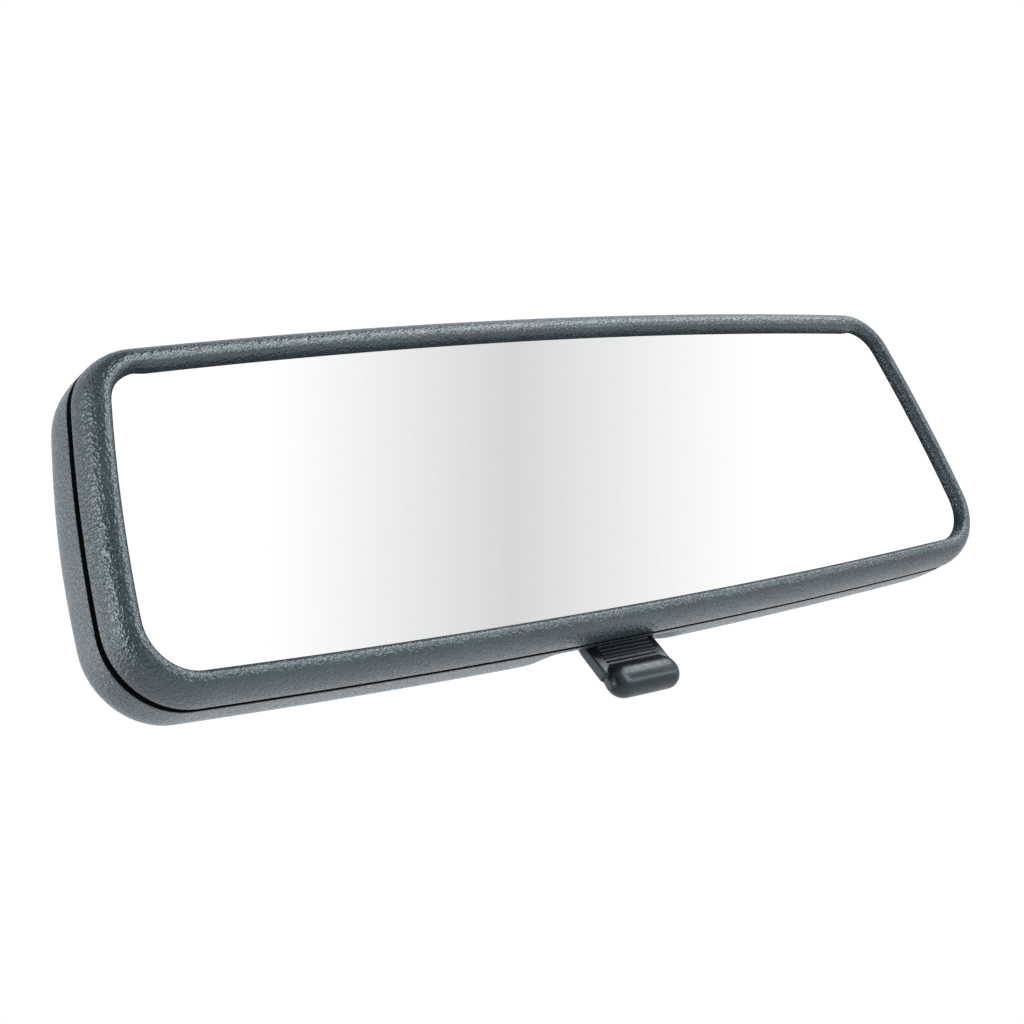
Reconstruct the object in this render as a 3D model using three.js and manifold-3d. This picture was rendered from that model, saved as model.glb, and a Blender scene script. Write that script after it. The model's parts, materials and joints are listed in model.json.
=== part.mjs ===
// Interior rear-view mirror with a day/night flip, on a ball-jointed windscreen arm.
//
// Millimetres. +X runs along the mirror's long side, +Y points forward to the windscreen
// and +Z up. The pieces are drawn about the middle of the glass opening ("head frame") and
// one group then moves them, so that the origin is the centre of the face that is bonded
// to the windscreen.
import * as THREE from 'three';
import { mergeVertices } from 'three/addons/utils/BufferGeometryUtils.js';
import Module from 'manifold-3d';

const wasm = await Module();
wasm.setup();

// ---------------------------------------------------------------- driving dimensions

const GAP = 0.3; // left between pieces that touch
const RAD = Math.PI / 180;

// Edge of the glass opening: five tangent arcs a side, the same left and right.
const OPENING = {
  halfWidth: 115,
  top: 36,
  bottom: 26.6,
  topRadius: 2000,
  bottomRadius: 2700,
  sideRadius: 300,
  sideLean: 8 * RAD,
  topCorner: 8.2,
  bottomCorner: 9.4,
};

// Front bezel: a rounded bead with a skirt that plugs into the housing.
const BEZEL = {
  width: 5.7,
  crest: 3.1, // how far the bead stands in front of the opening's edge
  rear: 4.1,
  lip: 1.9, // how far the bead covers the glass
  skirt: 1.5,
  skirtEnd: 7.6,
};

const HOUSING = {
  rim: 5.55,
  depth: 28.6,
  roundLong: 3.4, // superellipse exponents between side wall and back, along X and Z
  roundHigh: 3.1,
  ovalLate: 4, // how late the rings turn from the outline's shape into an oval
  wall: 2,
  backHole: 17, // radius of the hole that the arm comes out of
  recess: 4.5, // how far the bottom wall is scooped in behind the lever
  recessHalf: 22,
  recessFlat: 12,
};

const GLASS = { front: GAP, bottomThickness: 2.4, wedge: 3.2 * RAD };
const FILM = 0.4;
const FOAM = { half: 32, upper: [18, 28], lower: [-19, -9] };

const BALL = { y: 28.5, z: 4.7, radius: 7.5, neck: 3.6 };
// The stud's end inside the stalk, and the collar that it flares out to behind the neck.
const SHANK = { radius: 3, end: 20, shoulder: 12, collar: 5, flare: [2.8, 4] };
const LINER = { inner: BALL.radius + GAP, outer: BALL.radius + GAP + 1.5 };
const SOCKET = { inner: LINER.outer + GAP, outer: 14.3, split: 28.5, rear: 33.2, pocket: 6.5, floor: 1.5 };
const CLAMP_SCREW = { circle: 12.1, radius: 1.1, hole: 1.4, head: 2.1, headHeight: 1.4, count: 3, tip: 21.5 };
const DISC_SPRING = [[6.1, -11.2], [3.4, -9.5], [3.4, -9.9], [6.1, -11.6]]; // radius, along the ball's axis

// Day/night linkage: hinge at the top, lever with a crank pin at the bottom.
const HINGE = { y: 18.3, z: 28.4, pin: 1.5, pinHalf: 13.6, knuckle: 3.3, knuckleHalf: 10.1 };
const CRANK = { radius: 4.18, angle: 20 * RAD, pin: 1.4, arm: 2.2, cheekFrom: 5.3, cheekTo: 8.3 };
const FORK = { half: 4.7, prong: 1.6, top: -7.5, low: -11, corner: -8.5, floor: 0.8 };
const LEVER = {
  y: 14.82,
  z: -16.53,
  pin: 1.25,
  pinHalf: 15.2,
  hub: 4,
  waist: 2.45,
  hubHalf: 11.5,
  ridge: 4.7,
  ridgeFlank: 35 * RAD,
};
const BLADE = { half: 9.9, root: [10.6, -32], tip: [7.2, -39.4], thick: 2.8 };
const PAD = { y: 6.4, z: -40.9, radius: 4.1, half: 9.9, flatten: 0.82 };
const RIBS = { count: 6, pitch: 1, half: 7.5, height: 0.5, width: 0.4, start: 1.1 };
const LEVER_SLOT = { half: 12.4, front: 8.3, back: 23.5, low: -40, high: -20 };

const PLATE = { front: 15, back: 17.5, half: 13, shoulder: [-2, 14], neck: 23 }; // the bracket's plate
const CARRIER = { front: 9.3, back: 11.3, half: 41, high: 27.5, corner: 5, centre: 5 };
/** Windows in the carrier: half width, half height, corner, centre x and centre z. */
const WINDOWS = [[12, 12, 2, 0, -18], [9.5, 9, 3, 0, 9], [7.5, 12, 3, 23, 6], [7.5, 12, 3, -23, 6]];
const POST = { radius: 3.4, end: 31.1, bore: 1.5, boreEnd: 22 }; // the housing's screw posts
const CARRIER_SCREWS = [[36, 22], [-36, 22], [36, -12], [-36, -12]];
const CARRIER_SCREW = { head: 2.9, headHeight: 1.2, shank: 1.2, tip: 19, hole: 1.5 };
const LUG = {
  upperFrom: 10.4,
  lowerFrom: 12.3,
  thick: 3,
  front: 10.5,
  reach: 3.6, // how far the upper lugs stand out around the hinge
  lowerBack: 22.4,
  lower: [-20.6, -11.8],
};
const LONG = 20; // half length of a cutter that goes right through
const SPRING = { y: 19.85, thick: 0.5, half: 14, low: -19.1, high: -14.2 };

// Windscreen end. The bonding face looks forward and up, square to a raked screen.
const FACE = { y: 64, z: 42, rake: 60 * RAD };
const BUTTON = { pad: 13.5, padDepth: 1.8, neck: 10.5, neckDepth: 3.6, flange: 12.5, depth: 5.2 };
const SHOE = { half: 15.6, top: 2.1, lips: 3.3, slotFloor: 5.5, bottom: 11.5, corner: 7 };
// Radii at both ends, how far the top end sinks into the shoe, and the curve's two handles.
const STALK = { start: 6.2, end: 7, sides: 18, steps: 10, sink: 3, startPull: 11, endPull: 15 };
const SET_SCREW = { along: -9.2, radius: 2.2, hex: 1.1, below: 0.4, socket: 2 };

// ---------------------------------------------------------------- finishes

const material = (color, roughness, metalness = 0) =>
  new THREE.MeshStandardMaterial({ color, roughness, metalness });

const FINISH = {
  casing: material(0x4c5357, 0.62),
  lever: material(0x141618, 0.32),
  glass: material(0xe4e8ea, 0.04, 0.9),
  film: material(0x2a2c30, 0.6),
  foam: material(0x35373a, 0.95),
  nylon: material(0xd8d3c4, 0.5),
  carrier: material(0x2b2e31, 0.6),
  zinc: material(0x55595c, 0.5, 0.6),
  steel: material(0xa9adb0, 0.35, 1),
  springSteel: material(0x6f7378, 0.4, 1),
};

// ---------------------------------------------------------------- geometry helpers

const Y_AXIS = new THREE.Vector3(0, 1, 0);

/** A closed three.js geometry as a solid. */
function toSolid(geometry) {
  const bare = geometry.clone();
  bare.deleteAttribute('normal');
  bare.deleteAttribute('uv');
  const merged = mergeVertices(bare, 1e-4);
  return new wasm.Manifold(
    new wasm.Mesh({
      numProp: 3,
      vertProperties: new Float32Array(merged.attributes.position.array),
      triVerts: new Uint32Array(merged.index.array),
    }),
  );
}

function toGeometry(solid) {
  const mesh = solid.getMesh();
  const geometry = new THREE.BufferGeometry();
  geometry.setAttribute('position', new THREE.BufferAttribute(mesh.vertProperties, 3));
  geometry.setIndex(new THREE.BufferAttribute(mesh.triVerts, 1));
  return geometry;
}

function join(...parts) {
  return toGeometry(parts.map(toSolid).reduce((sum, part) => sum.add(part)));
}

function cut(body, ...tools) {
  return toGeometry(tools.map(toSolid).reduce((rest, tool) => rest.subtract(tool), toSolid(body)));
}

/** Skin over rings of points. Open ends get a flat fan; a closed loft joins last to first. */
function loft(rings, closed = false) {
  const count = rings[0].length;
  const points = rings.flat();
  const faces = [];
  const bands = closed ? rings.length : rings.length - 1;
  for (let band = 0; band < bands; band += 1) {
    const here = band * count;
    const there = ((band + 1) % rings.length) * count;
    for (let i = 0; i < count; i += 1) {
      const j = (i + 1) % count;
      faces.push(here + i, there + i, there + j, here + i, there + j, here + j);
    }
  }
  if (!closed) {
    const addCap = (ring, first, reversed) => {
      const centre = ring.reduce((sum, p) => sum.add(p), new THREE.Vector3());
      points.push(centre.divideScalar(count));
      const hub = points.length - 1;
      for (let i = 0; i < count; i += 1) {
        const j = (i + 1) % count;
        faces.push(hub, first + (reversed ? j : i), first + (reversed ? i : j));
      }
    };
    addCap(rings[0], 0, false);
    addCap(rings.at(-1), (rings.length - 1) * count, true);
  }
  return facingOut(points, faces);
}

/** Index the points so that the faces point out of the solid. */
function facingOut(points, faces) {
  let volume = 0;
  for (let f = 0; f < faces.length; f += 3) {
    const [a, b, c] = [points[faces[f]], points[faces[f + 1]], points[faces[f + 2]]];
    volume += a.dot(new THREE.Vector3().crossVectors(b, c));
  }
  const geometry = new THREE.BufferGeometry().setFromPoints(points);
  geometry.setIndex(volume > 0 ? faces : faces.toReversed());
  return geometry;
}

/** A rod from one point to another. */
function rod(radius, from, to, sides = 24) {
  const start = new THREE.Vector3(...from);
  const along = new THREE.Vector3(...to).sub(start);
  const turn = new THREE.Quaternion().setFromUnitVectors(Y_AXIS, along.clone().normalize());
  const middle = start.addScaledVector(along, 0.5);
  return new THREE.CylinderGeometry(radius, radius, along.length(), sides)
    .applyQuaternion(turn)
    .translate(middle.x, middle.y, middle.z);
}

const rodX = (radius, x0, x1, y, z, sides) => rod(radius, [x0, y, z], [x1, y, z], sides);
const rodY = (radius, y0, y1, x, z, sides) => rod(radius, [x, y0, z], [x, y1, z], sides);

/** A block given by its lowest and highest corners. */
function block([x0, y0, z0], [x1, y1, z1]) {
  return new THREE.BoxGeometry(x1 - x0, y1 - y0, z1 - z0)
    .translate((x0 + x1) / 2, (y0 + y1) / 2, (z0 + z1) / 2);
}

/** A shape drawn in X and Z, as a plate from y0 back to y1. */
function plateXZ(shape, y0, y1) {
  return new THREE.ExtrudeGeometry(shape, { depth: y1 - y0, bevelEnabled: false, curveSegments: 6 })
    .rotateX(Math.PI / 2)
    .translate(0, y1, 0);
}

/** A shape drawn in Y and Z, as a bar from x0 to x1. */
function barYZ(shape, x0, x1) {
  const axes = new THREE.Matrix4().makeBasis(
    new THREE.Vector3(0, 1, 0),
    new THREE.Vector3(0, 0, 1),
    new THREE.Vector3(1, 0, 0),
  );
  return new THREE.ExtrudeGeometry(shape, { depth: x1 - x0, bevelEnabled: false, curveSegments: 6 })
    .applyMatrix4(axes)
    .translate(x0, 0, 0);
}

/** A body of revolution about +Y from [radius, y] pairs, which may run either way round. */
function turned(profile, sides = 30) {
  const points = profile.map(([radius, y]) => new THREE.Vector2(radius, y));
  const ordered = THREE.ShapeUtils.area(points) > 0 ? points : points.toReversed();
  const touchesAxis = profile.some(([radius]) => radius === 0);
  return new THREE.LatheGeometry(touchesAxis ? fromAxis(ordered) : [...ordered, ordered[0]], sides);
}

/** Start a profile at its lower point on the axis, so that it ends at the upper one. */
function fromAxis(points) {
  const count = points.length;
  const start = points.findIndex((p, i) => p.x === 0 && points[(i + count - 1) % count].x === 0);
  return points.map((_, i) => points[(start + i) % count]);
}

/** A turned piece at the ball joint, about its fore-and-aft axis; y counts from the ball. */
const turnedAtBall = (profile, sides) => turned(profile, sides).translate(0, BALL.y, BALL.z);

/** Points on an arc about the ball centre, angles in degrees from straight forward. */
function ballArc(radius, from, to, steps) {
  return Array.from({ length: steps + 1 }, (_, i) => {
    const angle = (from + ((to - from) * i) / steps) * RAD;
    return [radius * Math.sin(angle), radius * Math.cos(angle)];
  });
}

function roundedRectangle(halfX, halfY, corner, x = 0, y = 0) {
  const shape = new THREE.Shape();
  shape.absarc(x + halfX - corner, y + halfY - corner, corner, 0, Math.PI / 2);
  shape.absarc(x - halfX + corner, y + halfY - corner, corner, Math.PI / 2, Math.PI);
  shape.absarc(x - halfX + corner, y - halfY + corner, corner, Math.PI, 1.5 * Math.PI);
  shape.absarc(x + halfX - corner, y - halfY + corner, corner, 1.5 * Math.PI, 2 * Math.PI);
  return shape;
}

const polygon = (points) => new THREE.Shape(points.map(([a, b]) => new THREE.Vector2(a, b)));

// ---------------------------------------------------------------- outline of the head

/** Where two circles cross, taking the crossing nearer to a guess. */
function crossing(a, radiusA, b, radiusB, guess) {
  const between = b.clone().sub(a);
  const distance = between.length();
  const along = (distance ** 2 + radiusA ** 2 - radiusB ** 2) / (2 * distance);
  const side = Math.sqrt(radiusA ** 2 - along ** 2);
  const unit = between.divideScalar(distance);
  const foot = a.clone().addScaledVector(unit, along);
  const across = new THREE.Vector2(-unit.y, unit.x).multiplyScalar(side);
  const [first, second] = [foot.clone().add(across), foot.clone().sub(across)];
  return first.distanceTo(guess) < second.distanceTo(guess) ? first : second;
}

const angleFrom = (centre, point) => Math.atan2(point.y - centre.y, point.x - centre.x);

/** Arc points with outward normals; shares run from 0 up to, but not including, 1. */
function arcPoints(centre, radius, from, to, shares) {
  return shares.map((share) => {
    const angle = from + (to - from) * share;
    const normal = new THREE.Vector2(Math.cos(angle), Math.sin(angle));
    return { at: centre.clone().addScaledVector(normal, radius), normal };
  });
}

const evenShares = (count) => Array.from({ length: count }, (_, i) => i / count);

function makeOutline() {
  const o = OPENING;
  const topCentre = new THREE.Vector2(0, o.top - o.topRadius);
  const bottomCentre = new THREE.Vector2(0, o.bottomRadius - o.bottom);
  const sideCentre = new THREE.Vector2(
    o.halfWidth - o.sideRadius * Math.cos(o.sideLean),
    -o.sideRadius * Math.sin(o.sideLean),
  );
  const upper = crossing(
    topCentre, o.topRadius - o.topCorner, sideCentre, o.sideRadius - o.topCorner,
    new THREE.Vector2(o.halfWidth - o.topCorner, o.top - o.topCorner),
  );
  const lower = crossing(
    bottomCentre, o.bottomRadius - o.bottomCorner, sideCentre, o.sideRadius - o.bottomCorner,
    new THREE.Vector2(o.halfWidth - o.bottomCorner, o.bottomCorner - o.bottom),
  );
  const topEnd = angleFrom(topCentre, upper);
  const sideStart = angleFrom(sideCentre, upper);
  const sideEnd = angleFrom(sideCentre, lower);
  const bottomStart = angleFrom(bottomCentre, lower);
  // The bottom edge has extra points across the lever's recess.
  const recessStations = [75, 45, HOUSING.recessHalf, 18, 15, HOUSING.recessFlat, 6];
  const bottomShares = [0, ...recessStations.map((x) => 1 - x / lower.x)];
  const right = [
    ...arcPoints(topCentre, o.topRadius, Math.PI / 2, topEnd, evenShares(6)),
    ...arcPoints(upper, o.topCorner, topEnd, sideStart, evenShares(6)),
    ...arcPoints(sideCentre, o.sideRadius, sideStart, sideEnd, evenShares(4)),
    ...arcPoints(lower, o.bottomCorner, sideEnd, bottomStart, evenShares(6)),
    ...arcPoints(bottomCentre, o.bottomRadius, bottomStart, -Math.PI / 2, bottomShares),
    { at: new THREE.Vector2(0, -o.bottom), normal: new THREE.Vector2(0, -1) },
  ];
  const mirrored = right.slice(1, -1).reverse().map(({ at, normal }) => ({
    at: new THREE.Vector2(-at.x, at.y),
    normal: new THREE.Vector2(-normal.x, normal.y),
  }));
  return [...right, ...mirrored];
}

const OUTLINE = makeOutline();
const MIDDLE = (OPENING.top - OPENING.bottom) / 2; // height of the head's middle

/** A ring at a distance outside the opening's edge; y is a number or a function of height. */
function ring(outside, y) {
  return OUTLINE.map(({ at, normal }) => {
    const z = at.y + normal.y * outside;
    return new THREE.Vector3(at.x + normal.x * outside, typeof y === 'function' ? y(z) : y, z);
  });
}

// ---------------------------------------------------------------- head: casing and glass

function frontBezel() {
  const b = BEZEL;
  const skirtOuter = b.lip + b.skirt;
  const section = [
    [0, 0],
    [0.3, -0.55 * b.crest],
    [0.27 * b.width, -b.crest],
    [0.52 * b.width, -0.86 * b.crest],
    [0.77 * b.width, -0.3 * b.crest],
    [0.94 * b.width, 0.4 * b.rear],
    [b.width, b.rear],
    [skirtOuter, b.rear],
    [skirtOuter, b.skirtEnd],
    [b.lip, b.skirtEnd],
    [b.lip, 0],
  ];
  return loft(section.map(([outside, y]) => ring(outside, y)), true);
}

/** Move a housing point up where the bottom wall is scooped in around the lever. */
function scoop(point) {
  if (point.z > MIDDLE) return point;
  const span = HOUSING.recessHalf - HOUSING.recessFlat;
  const out = THREE.MathUtils.clamp((Math.abs(point.x) - HOUSING.recessFlat) / span, 0, 1);
  const deep = THREE.MathUtils.clamp((point.y - BEZEL.skirtEnd - GAP) / 5, 0, 1);
  const low = THREE.MathUtils.clamp((MIDDLE - 10 - point.z) / 10, 0, 1);
  const lift = HOUSING.recess * 0.5 * (1 + Math.cos(Math.PI * out)) * deep * low;
  return new THREE.Vector3(point.x, point.y, point.z + lift);
}

/** Rings of one housing skin, from the rim to the middle of the back. */
function domeRings(outside, depth, shares) {
  const rim = ring(outside, HOUSING.rim);
  const halfLong = Math.max(...rim.map((p) => p.x));
  const halfHigh = Math.max(...rim.map((p) => p.z)) - MIDDLE;
  return shares.map((share) => {
    const long = (1 - share ** HOUSING.roundLong) ** (1 / HOUSING.roundLong);
    const high = (1 - share ** HOUSING.roundHigh) ** (1 / HOUSING.roundHigh);
    const oval = share ** HOUSING.ovalLate;
    return rim.map((p) => {
      const angle = Math.atan2((p.z - MIDDLE) / halfHigh, p.x / halfLong);
      const x = long * THREE.MathUtils.lerp(p.x, halfLong * Math.cos(angle), oval);
      const z = high * THREE.MathUtils.lerp(p.z - MIDDLE, halfHigh * Math.sin(angle), oval);
      return scoop(new THREE.Vector3(x, p.y + depth * share, MIDDLE + z));
    });
  });
}

function rearHousing() {
  const h = HOUSING;
  const outerShares = [0, 0.08, 0.17, 0.28, 0.5, 0.66, 0.78, 0.87, 0.94, 0.98, 0.997];
  const innerShares = [0, 0.09, 0.2, 0.34, 0.58, 0.76, 0.88, 0.96, 0.997];
  const outer = domeRings(BEZEL.width, h.depth, outerShares);
  const inner = domeRings(BEZEL.width - h.wall, h.depth - h.wall, innerShares);
  const shell = loft([...outer.toReversed(), ...inner]);
  const posts = CARRIER_SCREWS.map(([x, z]) => rodY(POST.radius, CARRIER.back + GAP, POST.end, x, z, 16));
  const bores = CARRIER_SCREWS.map(([x, z]) => rodY(POST.bore, CARRIER.back, POST.boreEnd, x, z, 12));
  const armHole = rodY(h.backHole, BALL.y, h.rim + h.depth + 2, 0, BALL.z, 40);
  const slot = LEVER_SLOT;
  const leverSlot = block([-slot.half, slot.front, slot.low], [slot.half, slot.back, slot.high]);
  return cut(join(shell, ...posts), ...bores, armHole, leverSlot);
}

/** Back face of the wedge-shaped glass, thicker towards the top. */
const glassBack = (z) =>
  GLASS.front + GLASS.bottomThickness + (z + OPENING.bottom + 1.6) * Math.tan(GLASS.wedge);

function mirrorGlass() {
  const edge = BEZEL.lip - GAP;
  return loft([ring(edge, GLASS.front), ring(edge, glassBack)]);
}

function glassBackingFilm() {
  const edge = BEZEL.lip - 2 * GAP;
  const front = (z) => glassBack(z) + GAP;
  return loft([ring(edge, front), ring(edge, (z) => front(z) + FILM)]);
}

function foamStrip([zLow, zHigh]) {
  const front = (z) => glassBack(z) + GAP + FILM + GAP;
  const back = CARRIER.front - GAP;
  const section = [[front(zLow), zLow], [back, zLow], [back, zHigh], [front(zHigh), zHigh]];
  return barYZ(polygon(section), -FOAM.half, FOAM.half);
}

// ---------------------------------------------------------------- head: mechanism

/** Flat plate behind the glass, with lugs for both pins, screwed to the housing's posts. */
function mechanismCarrier() {
  const c = CARRIER;
  const plate = plateXZ(roundedRectangle(c.half, c.high, c.corner, 0, c.centre), c.front, c.back);
  const openings = WINDOWS.map((window) => plateXZ(roundedRectangle(...window), c.front - 1, c.back + 1));
  const screwHoles = CARRIER_SCREWS.map(([x, z]) =>
    rodY(CARRIER_SCREW.hole, c.front - 1, c.back + 1, x, z, 12));
  const lugs = [-1, 1].flatMap((side) => {
    const upper = [side * LUG.upperFrom, side * (LUG.upperFrom + LUG.thick)].sort((a, b) => a - b);
    const lower = [side * LUG.lowerFrom, side * (LUG.lowerFrom + LUG.thick)].sort((a, b) => a - b);
    return [
      block([upper[0], LUG.front, HINGE.z - LUG.reach], [upper[1], HINGE.y + LUG.reach, HINGE.z + LUG.reach]),
      block([lower[0], LUG.front, LUG.lower[0]], [lower[1], LUG.lowerBack, LUG.lower[1]]),
    ];
  });
  const springSeat = block(
    [-SPRING.half - GAP, SPRING.y - GAP, SPRING.low - GAP],
    [SPRING.half + GAP, SPRING.y + SPRING.thick + GAP, SPRING.high + GAP],
  );
  const hingeHole = rodX(HINGE.pin + GAP, -LONG, LONG, HINGE.y, HINGE.z, 16);
  const leverHole = rodX(LEVER.pin + GAP, -LONG, LONG, LEVER.y, LEVER.z, 16);
  const body = cut(join(plate, ...lugs), ...screwHoles, springSeat, hingeHole, leverHole);
  return cut(body, ...openings);
}

function carrierScrew([x, z]) {
  const seat = CARRIER.front - GAP;
  const head = rodY(CARRIER_SCREW.head, seat - CARRIER_SCREW.headHeight, seat, x, z, 16);
  return join(head, rodY(CARRIER_SCREW.shank, seat - 1, CARRIER_SCREW.tip, x, z, 12));
}

const hingePin = () => rodX(HINGE.pin, -HINGE.pinHalf, HINGE.pinHalf, HINGE.y, HINGE.z, 16);
const leverPivotPin = () => rodX(LEVER.pin, -LEVER.pinHalf, LEVER.pinHalf, LEVER.y, LEVER.z, 16);

/** Flat strip trapped in the lower lugs; the lever's ridge snaps past its middle. */
function toggleSpring() {
  return block(
    [-SPRING.half, SPRING.y, SPRING.low],
    [SPRING.half, SPRING.y + SPRING.thick, SPRING.high],
  );
}

// ---------------------------------------------------------------- lever

const CRANK_PIN = {
  y: LEVER.y + CRANK.radius * Math.sin(CRANK.angle),
  z: LEVER.z + CRANK.radius * Math.cos(CRANK.angle),
};

/** Cam end of the hub: round, with one ridge that faces the spring at mid-travel. */
function camShape() {
  const shape = new THREE.Shape();
  const ridgeAt = -CRANK.angle;
  const start = ridgeAt + LEVER.ridgeFlank;
  const end = ridgeAt - LEVER.ridgeFlank + 2 * Math.PI;
  shape.absarc(LEVER.y, LEVER.z, LEVER.hub, start, end);
  shape.lineTo(
    LEVER.y + LEVER.ridge * Math.cos(ridgeAt),
    LEVER.z + LEVER.ridge * Math.sin(ridgeAt),
  );
  return shape;
}

/** Unit vectors down the blade and square to its front face, in Y and Z. */
function bladeDirections() {
  const down = new THREE.Vector2(BLADE.tip[0] - BLADE.root[0], BLADE.tip[1] - BLADE.root[1]).normalize();
  return { down, forward: new THREE.Vector2(down.y, -down.x) };
}

function leverBlade() {
  const half = BLADE.thick / 2;
  const { forward } = bladeDirections();
  const across = forward.multiplyScalar(half);
  const [rootY, rootZ] = BLADE.root;
  const [tipY, tipZ] = BLADE.tip;
  const section = [
    [LEVER.y - half, LEVER.z],
    [rootY + across.x, rootZ + across.y],
    [tipY + across.x, tipZ + across.y],
    [tipY - across.x, tipZ - across.y],
    [rootY - across.x, rootZ - across.y],
    [LEVER.y + half, LEVER.z],
  ];
  return barYZ(polygon(section), -BLADE.half, BLADE.half);
}

/** Fine bars across the front of the blade, for grip. */
function leverRibs() {
  const { down, forward } = bladeDirections();
  const surface = BLADE.thick / 2;
  return Array.from({ length: RIBS.count }, (_, i) => {
    const along = RIBS.start + i * RIBS.pitch;
    const y = BLADE.root[0] + down.x * along + forward.x * surface;
    const z = BLADE.root[1] + down.y * along + forward.y * surface;
    return new THREE.BoxGeometry(2 * RIBS.half, 2 * RIBS.height, RIBS.width)
      .rotateX(-Math.atan2(down.x, -down.y))
      .translate(0, y, z);
  });
}

function dipLever() {
  const cheeks = [-1, 1].flatMap((side) => {
    const [x0, x1] = [side * CRANK.cheekFrom, side * CRANK.cheekTo];
    return [
      rodX(LEVER.hub, x0, x1, LEVER.y, LEVER.z, 20),
      rodX(CRANK.arm, x0, x1, CRANK_PIN.y, CRANK_PIN.z, 16),
    ];
  });
  const cams = [
    barYZ(camShape(), CRANK.cheekTo, LEVER.hubHalf),
    barYZ(camShape(), -LEVER.hubHalf, -CRANK.cheekTo),
  ];
  const waist = rodX(LEVER.waist, -CRANK.cheekFrom - 1, CRANK.cheekFrom + 1, LEVER.y, LEVER.z, 20);
  const crankPin = rodX(CRANK.pin, -CRANK.cheekTo, CRANK.cheekTo, CRANK_PIN.y, CRANK_PIN.z, 14);
  const pad = new THREE.CapsuleGeometry(PAD.radius, 2 * (PAD.half - PAD.radius), 4, 14)
    .rotateZ(Math.PI / 2)
    .scale(1, PAD.flatten, 1)
    .translate(0, PAD.y, PAD.z);
  const body = join(leverBlade(), pad, waist, crankPin, ...cheeks, ...cams, ...leverRibs());
  return cut(body, rodX(LEVER.pin + GAP, -LONG, LONG, LEVER.y, LEVER.z, 16));
}

// ---------------------------------------------------------------- bracket and ball joint

/** Hangs from the ball: socket cup, hinge knuckle above it and the lever's fork below it. */
function pivotBracket() {
  const rightEdge = [
    [FORK.half, FORK.low],
    [FORK.half, FORK.corner],
    [PLATE.half, PLATE.shoulder[0]],
    [PLATE.half, PLATE.shoulder[1]],
    [HINGE.knuckleHalf, PLATE.neck],
    [HINGE.knuckleHalf, HINGE.z],
  ];
  const leftEdge = rightEdge.map(([x, z]) => [-x, z]).reverse();
  const plate = plateXZ(polygon([...rightEdge, ...leftEdge]), PLATE.front, PLATE.back);
  const cup = rodY(SOCKET.outer, PLATE.front, SOCKET.split, 0, BALL.z, 36);
  const knuckle = rodX(HINGE.knuckle, -HINGE.knuckleHalf, HINGE.knuckleHalf, HINGE.y, HINGE.z, 20);
  const slotHalf = CRANK.pin + GAP;
  const forkLow = LEVER.z + LEVER.waist + GAP;
  const fork = block(
    [-FORK.half, CRANK_PIN.y - slotHalf - FORK.prong, forkLow],
    [FORK.half, CRANK_PIN.y + slotHalf + FORK.prong, FORK.top],
  );
  const slot = block(
    [-FORK.half - 1, CRANK_PIN.y - slotHalf, forkLow - 1],
    [FORK.half + 1, CRANK_PIN.y + slotHalf, CRANK_PIN.z + CRANK.pin + FORK.floor],
  );
  const hollow = turnedAtBall([[0, 2], ...ballArc(SOCKET.inner, 78, 179, 10), [0, -SOCKET.inner]]);
  const springPocket = rodY(SOCKET.pocket, PLATE.front + SOCKET.floor, BALL.y, 0, BALL.z, 24);
  const screwHoles = clampScrewHoles(CLAMP_SCREW.tip - 1, SOCKET.split + 1);
  const pinHole = rodX(HINGE.pin + GAP, -LONG, LONG, HINGE.y, HINGE.z, 16);
  return cut(join(plate, cup, knuckle, fork), slot, hollow, springPocket, pinHole, ...screwHoles);
}

function clampScrewPlaces() {
  return Array.from({ length: CLAMP_SCREW.count }, (_, i) => {
    const angle = Math.PI / 2 + (i * 2 * Math.PI) / CLAMP_SCREW.count;
    return [CLAMP_SCREW.circle * Math.cos(angle), BALL.z + CLAMP_SCREW.circle * Math.sin(angle)];
  });
}

const clampScrewHoles = (y0, y1) =>
  clampScrewPlaces().map(([x, z]) => rodY(CLAMP_SCREW.hole, y0, y1, x, z, 10));

/** Ring that closes the socket behind the ball; its mouth leaves room for the neck to swing. */
function socketClampPlate() {
  const front = SOCKET.split + GAP - BALL.y;
  const rear = SOCKET.rear - BALL.y;
  const mouthAngle = Math.acos(rear / SOCKET.inner) / RAD;
  const frontAngle = Math.acos(front / SOCKET.inner) / RAD;
  const ringBody = turnedAtBall([
    ...ballArc(SOCKET.inner, frontAngle, mouthAngle, 6),
    [SOCKET.outer, rear],
    [SOCKET.outer, front],
  ], 36);
  return cut(ringBody, ...clampScrewHoles(SOCKET.split - 1, SOCKET.rear + 1));
}

function clampScrew([x, z]) {
  const seat = SOCKET.rear + GAP;
  const head = rodY(CLAMP_SCREW.head, seat, seat + CLAMP_SCREW.headHeight, x, z, 14);
  return join(head, rodY(CLAMP_SCREW.radius, CLAMP_SCREW.tip, seat + 0.5, x, z, 10));
}

/** Conical disc spring in the bottom of the cup; it pushes the liner onto the ball. */
const socketSpring = () => turnedAtBall(DISC_SPRING, 24);

/** Nylon cup over the front of the ball. */
function socketLiner() {
  return turnedAtBall([
    ...ballArc(LINER.inner, 112, 158, 7),
    ...ballArc(LINER.outer, 158, 112, 7),
  ], 26);
}

/** Nylon ring over the back of the ball, around its neck. */
function ballRetainer() {
  return turnedAtBall([
    ...ballArc(LINER.inner, 63, 88, 4),
    ...ballArc(LINER.outer, 88, 63, 4),
  ], 26);
}

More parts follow.
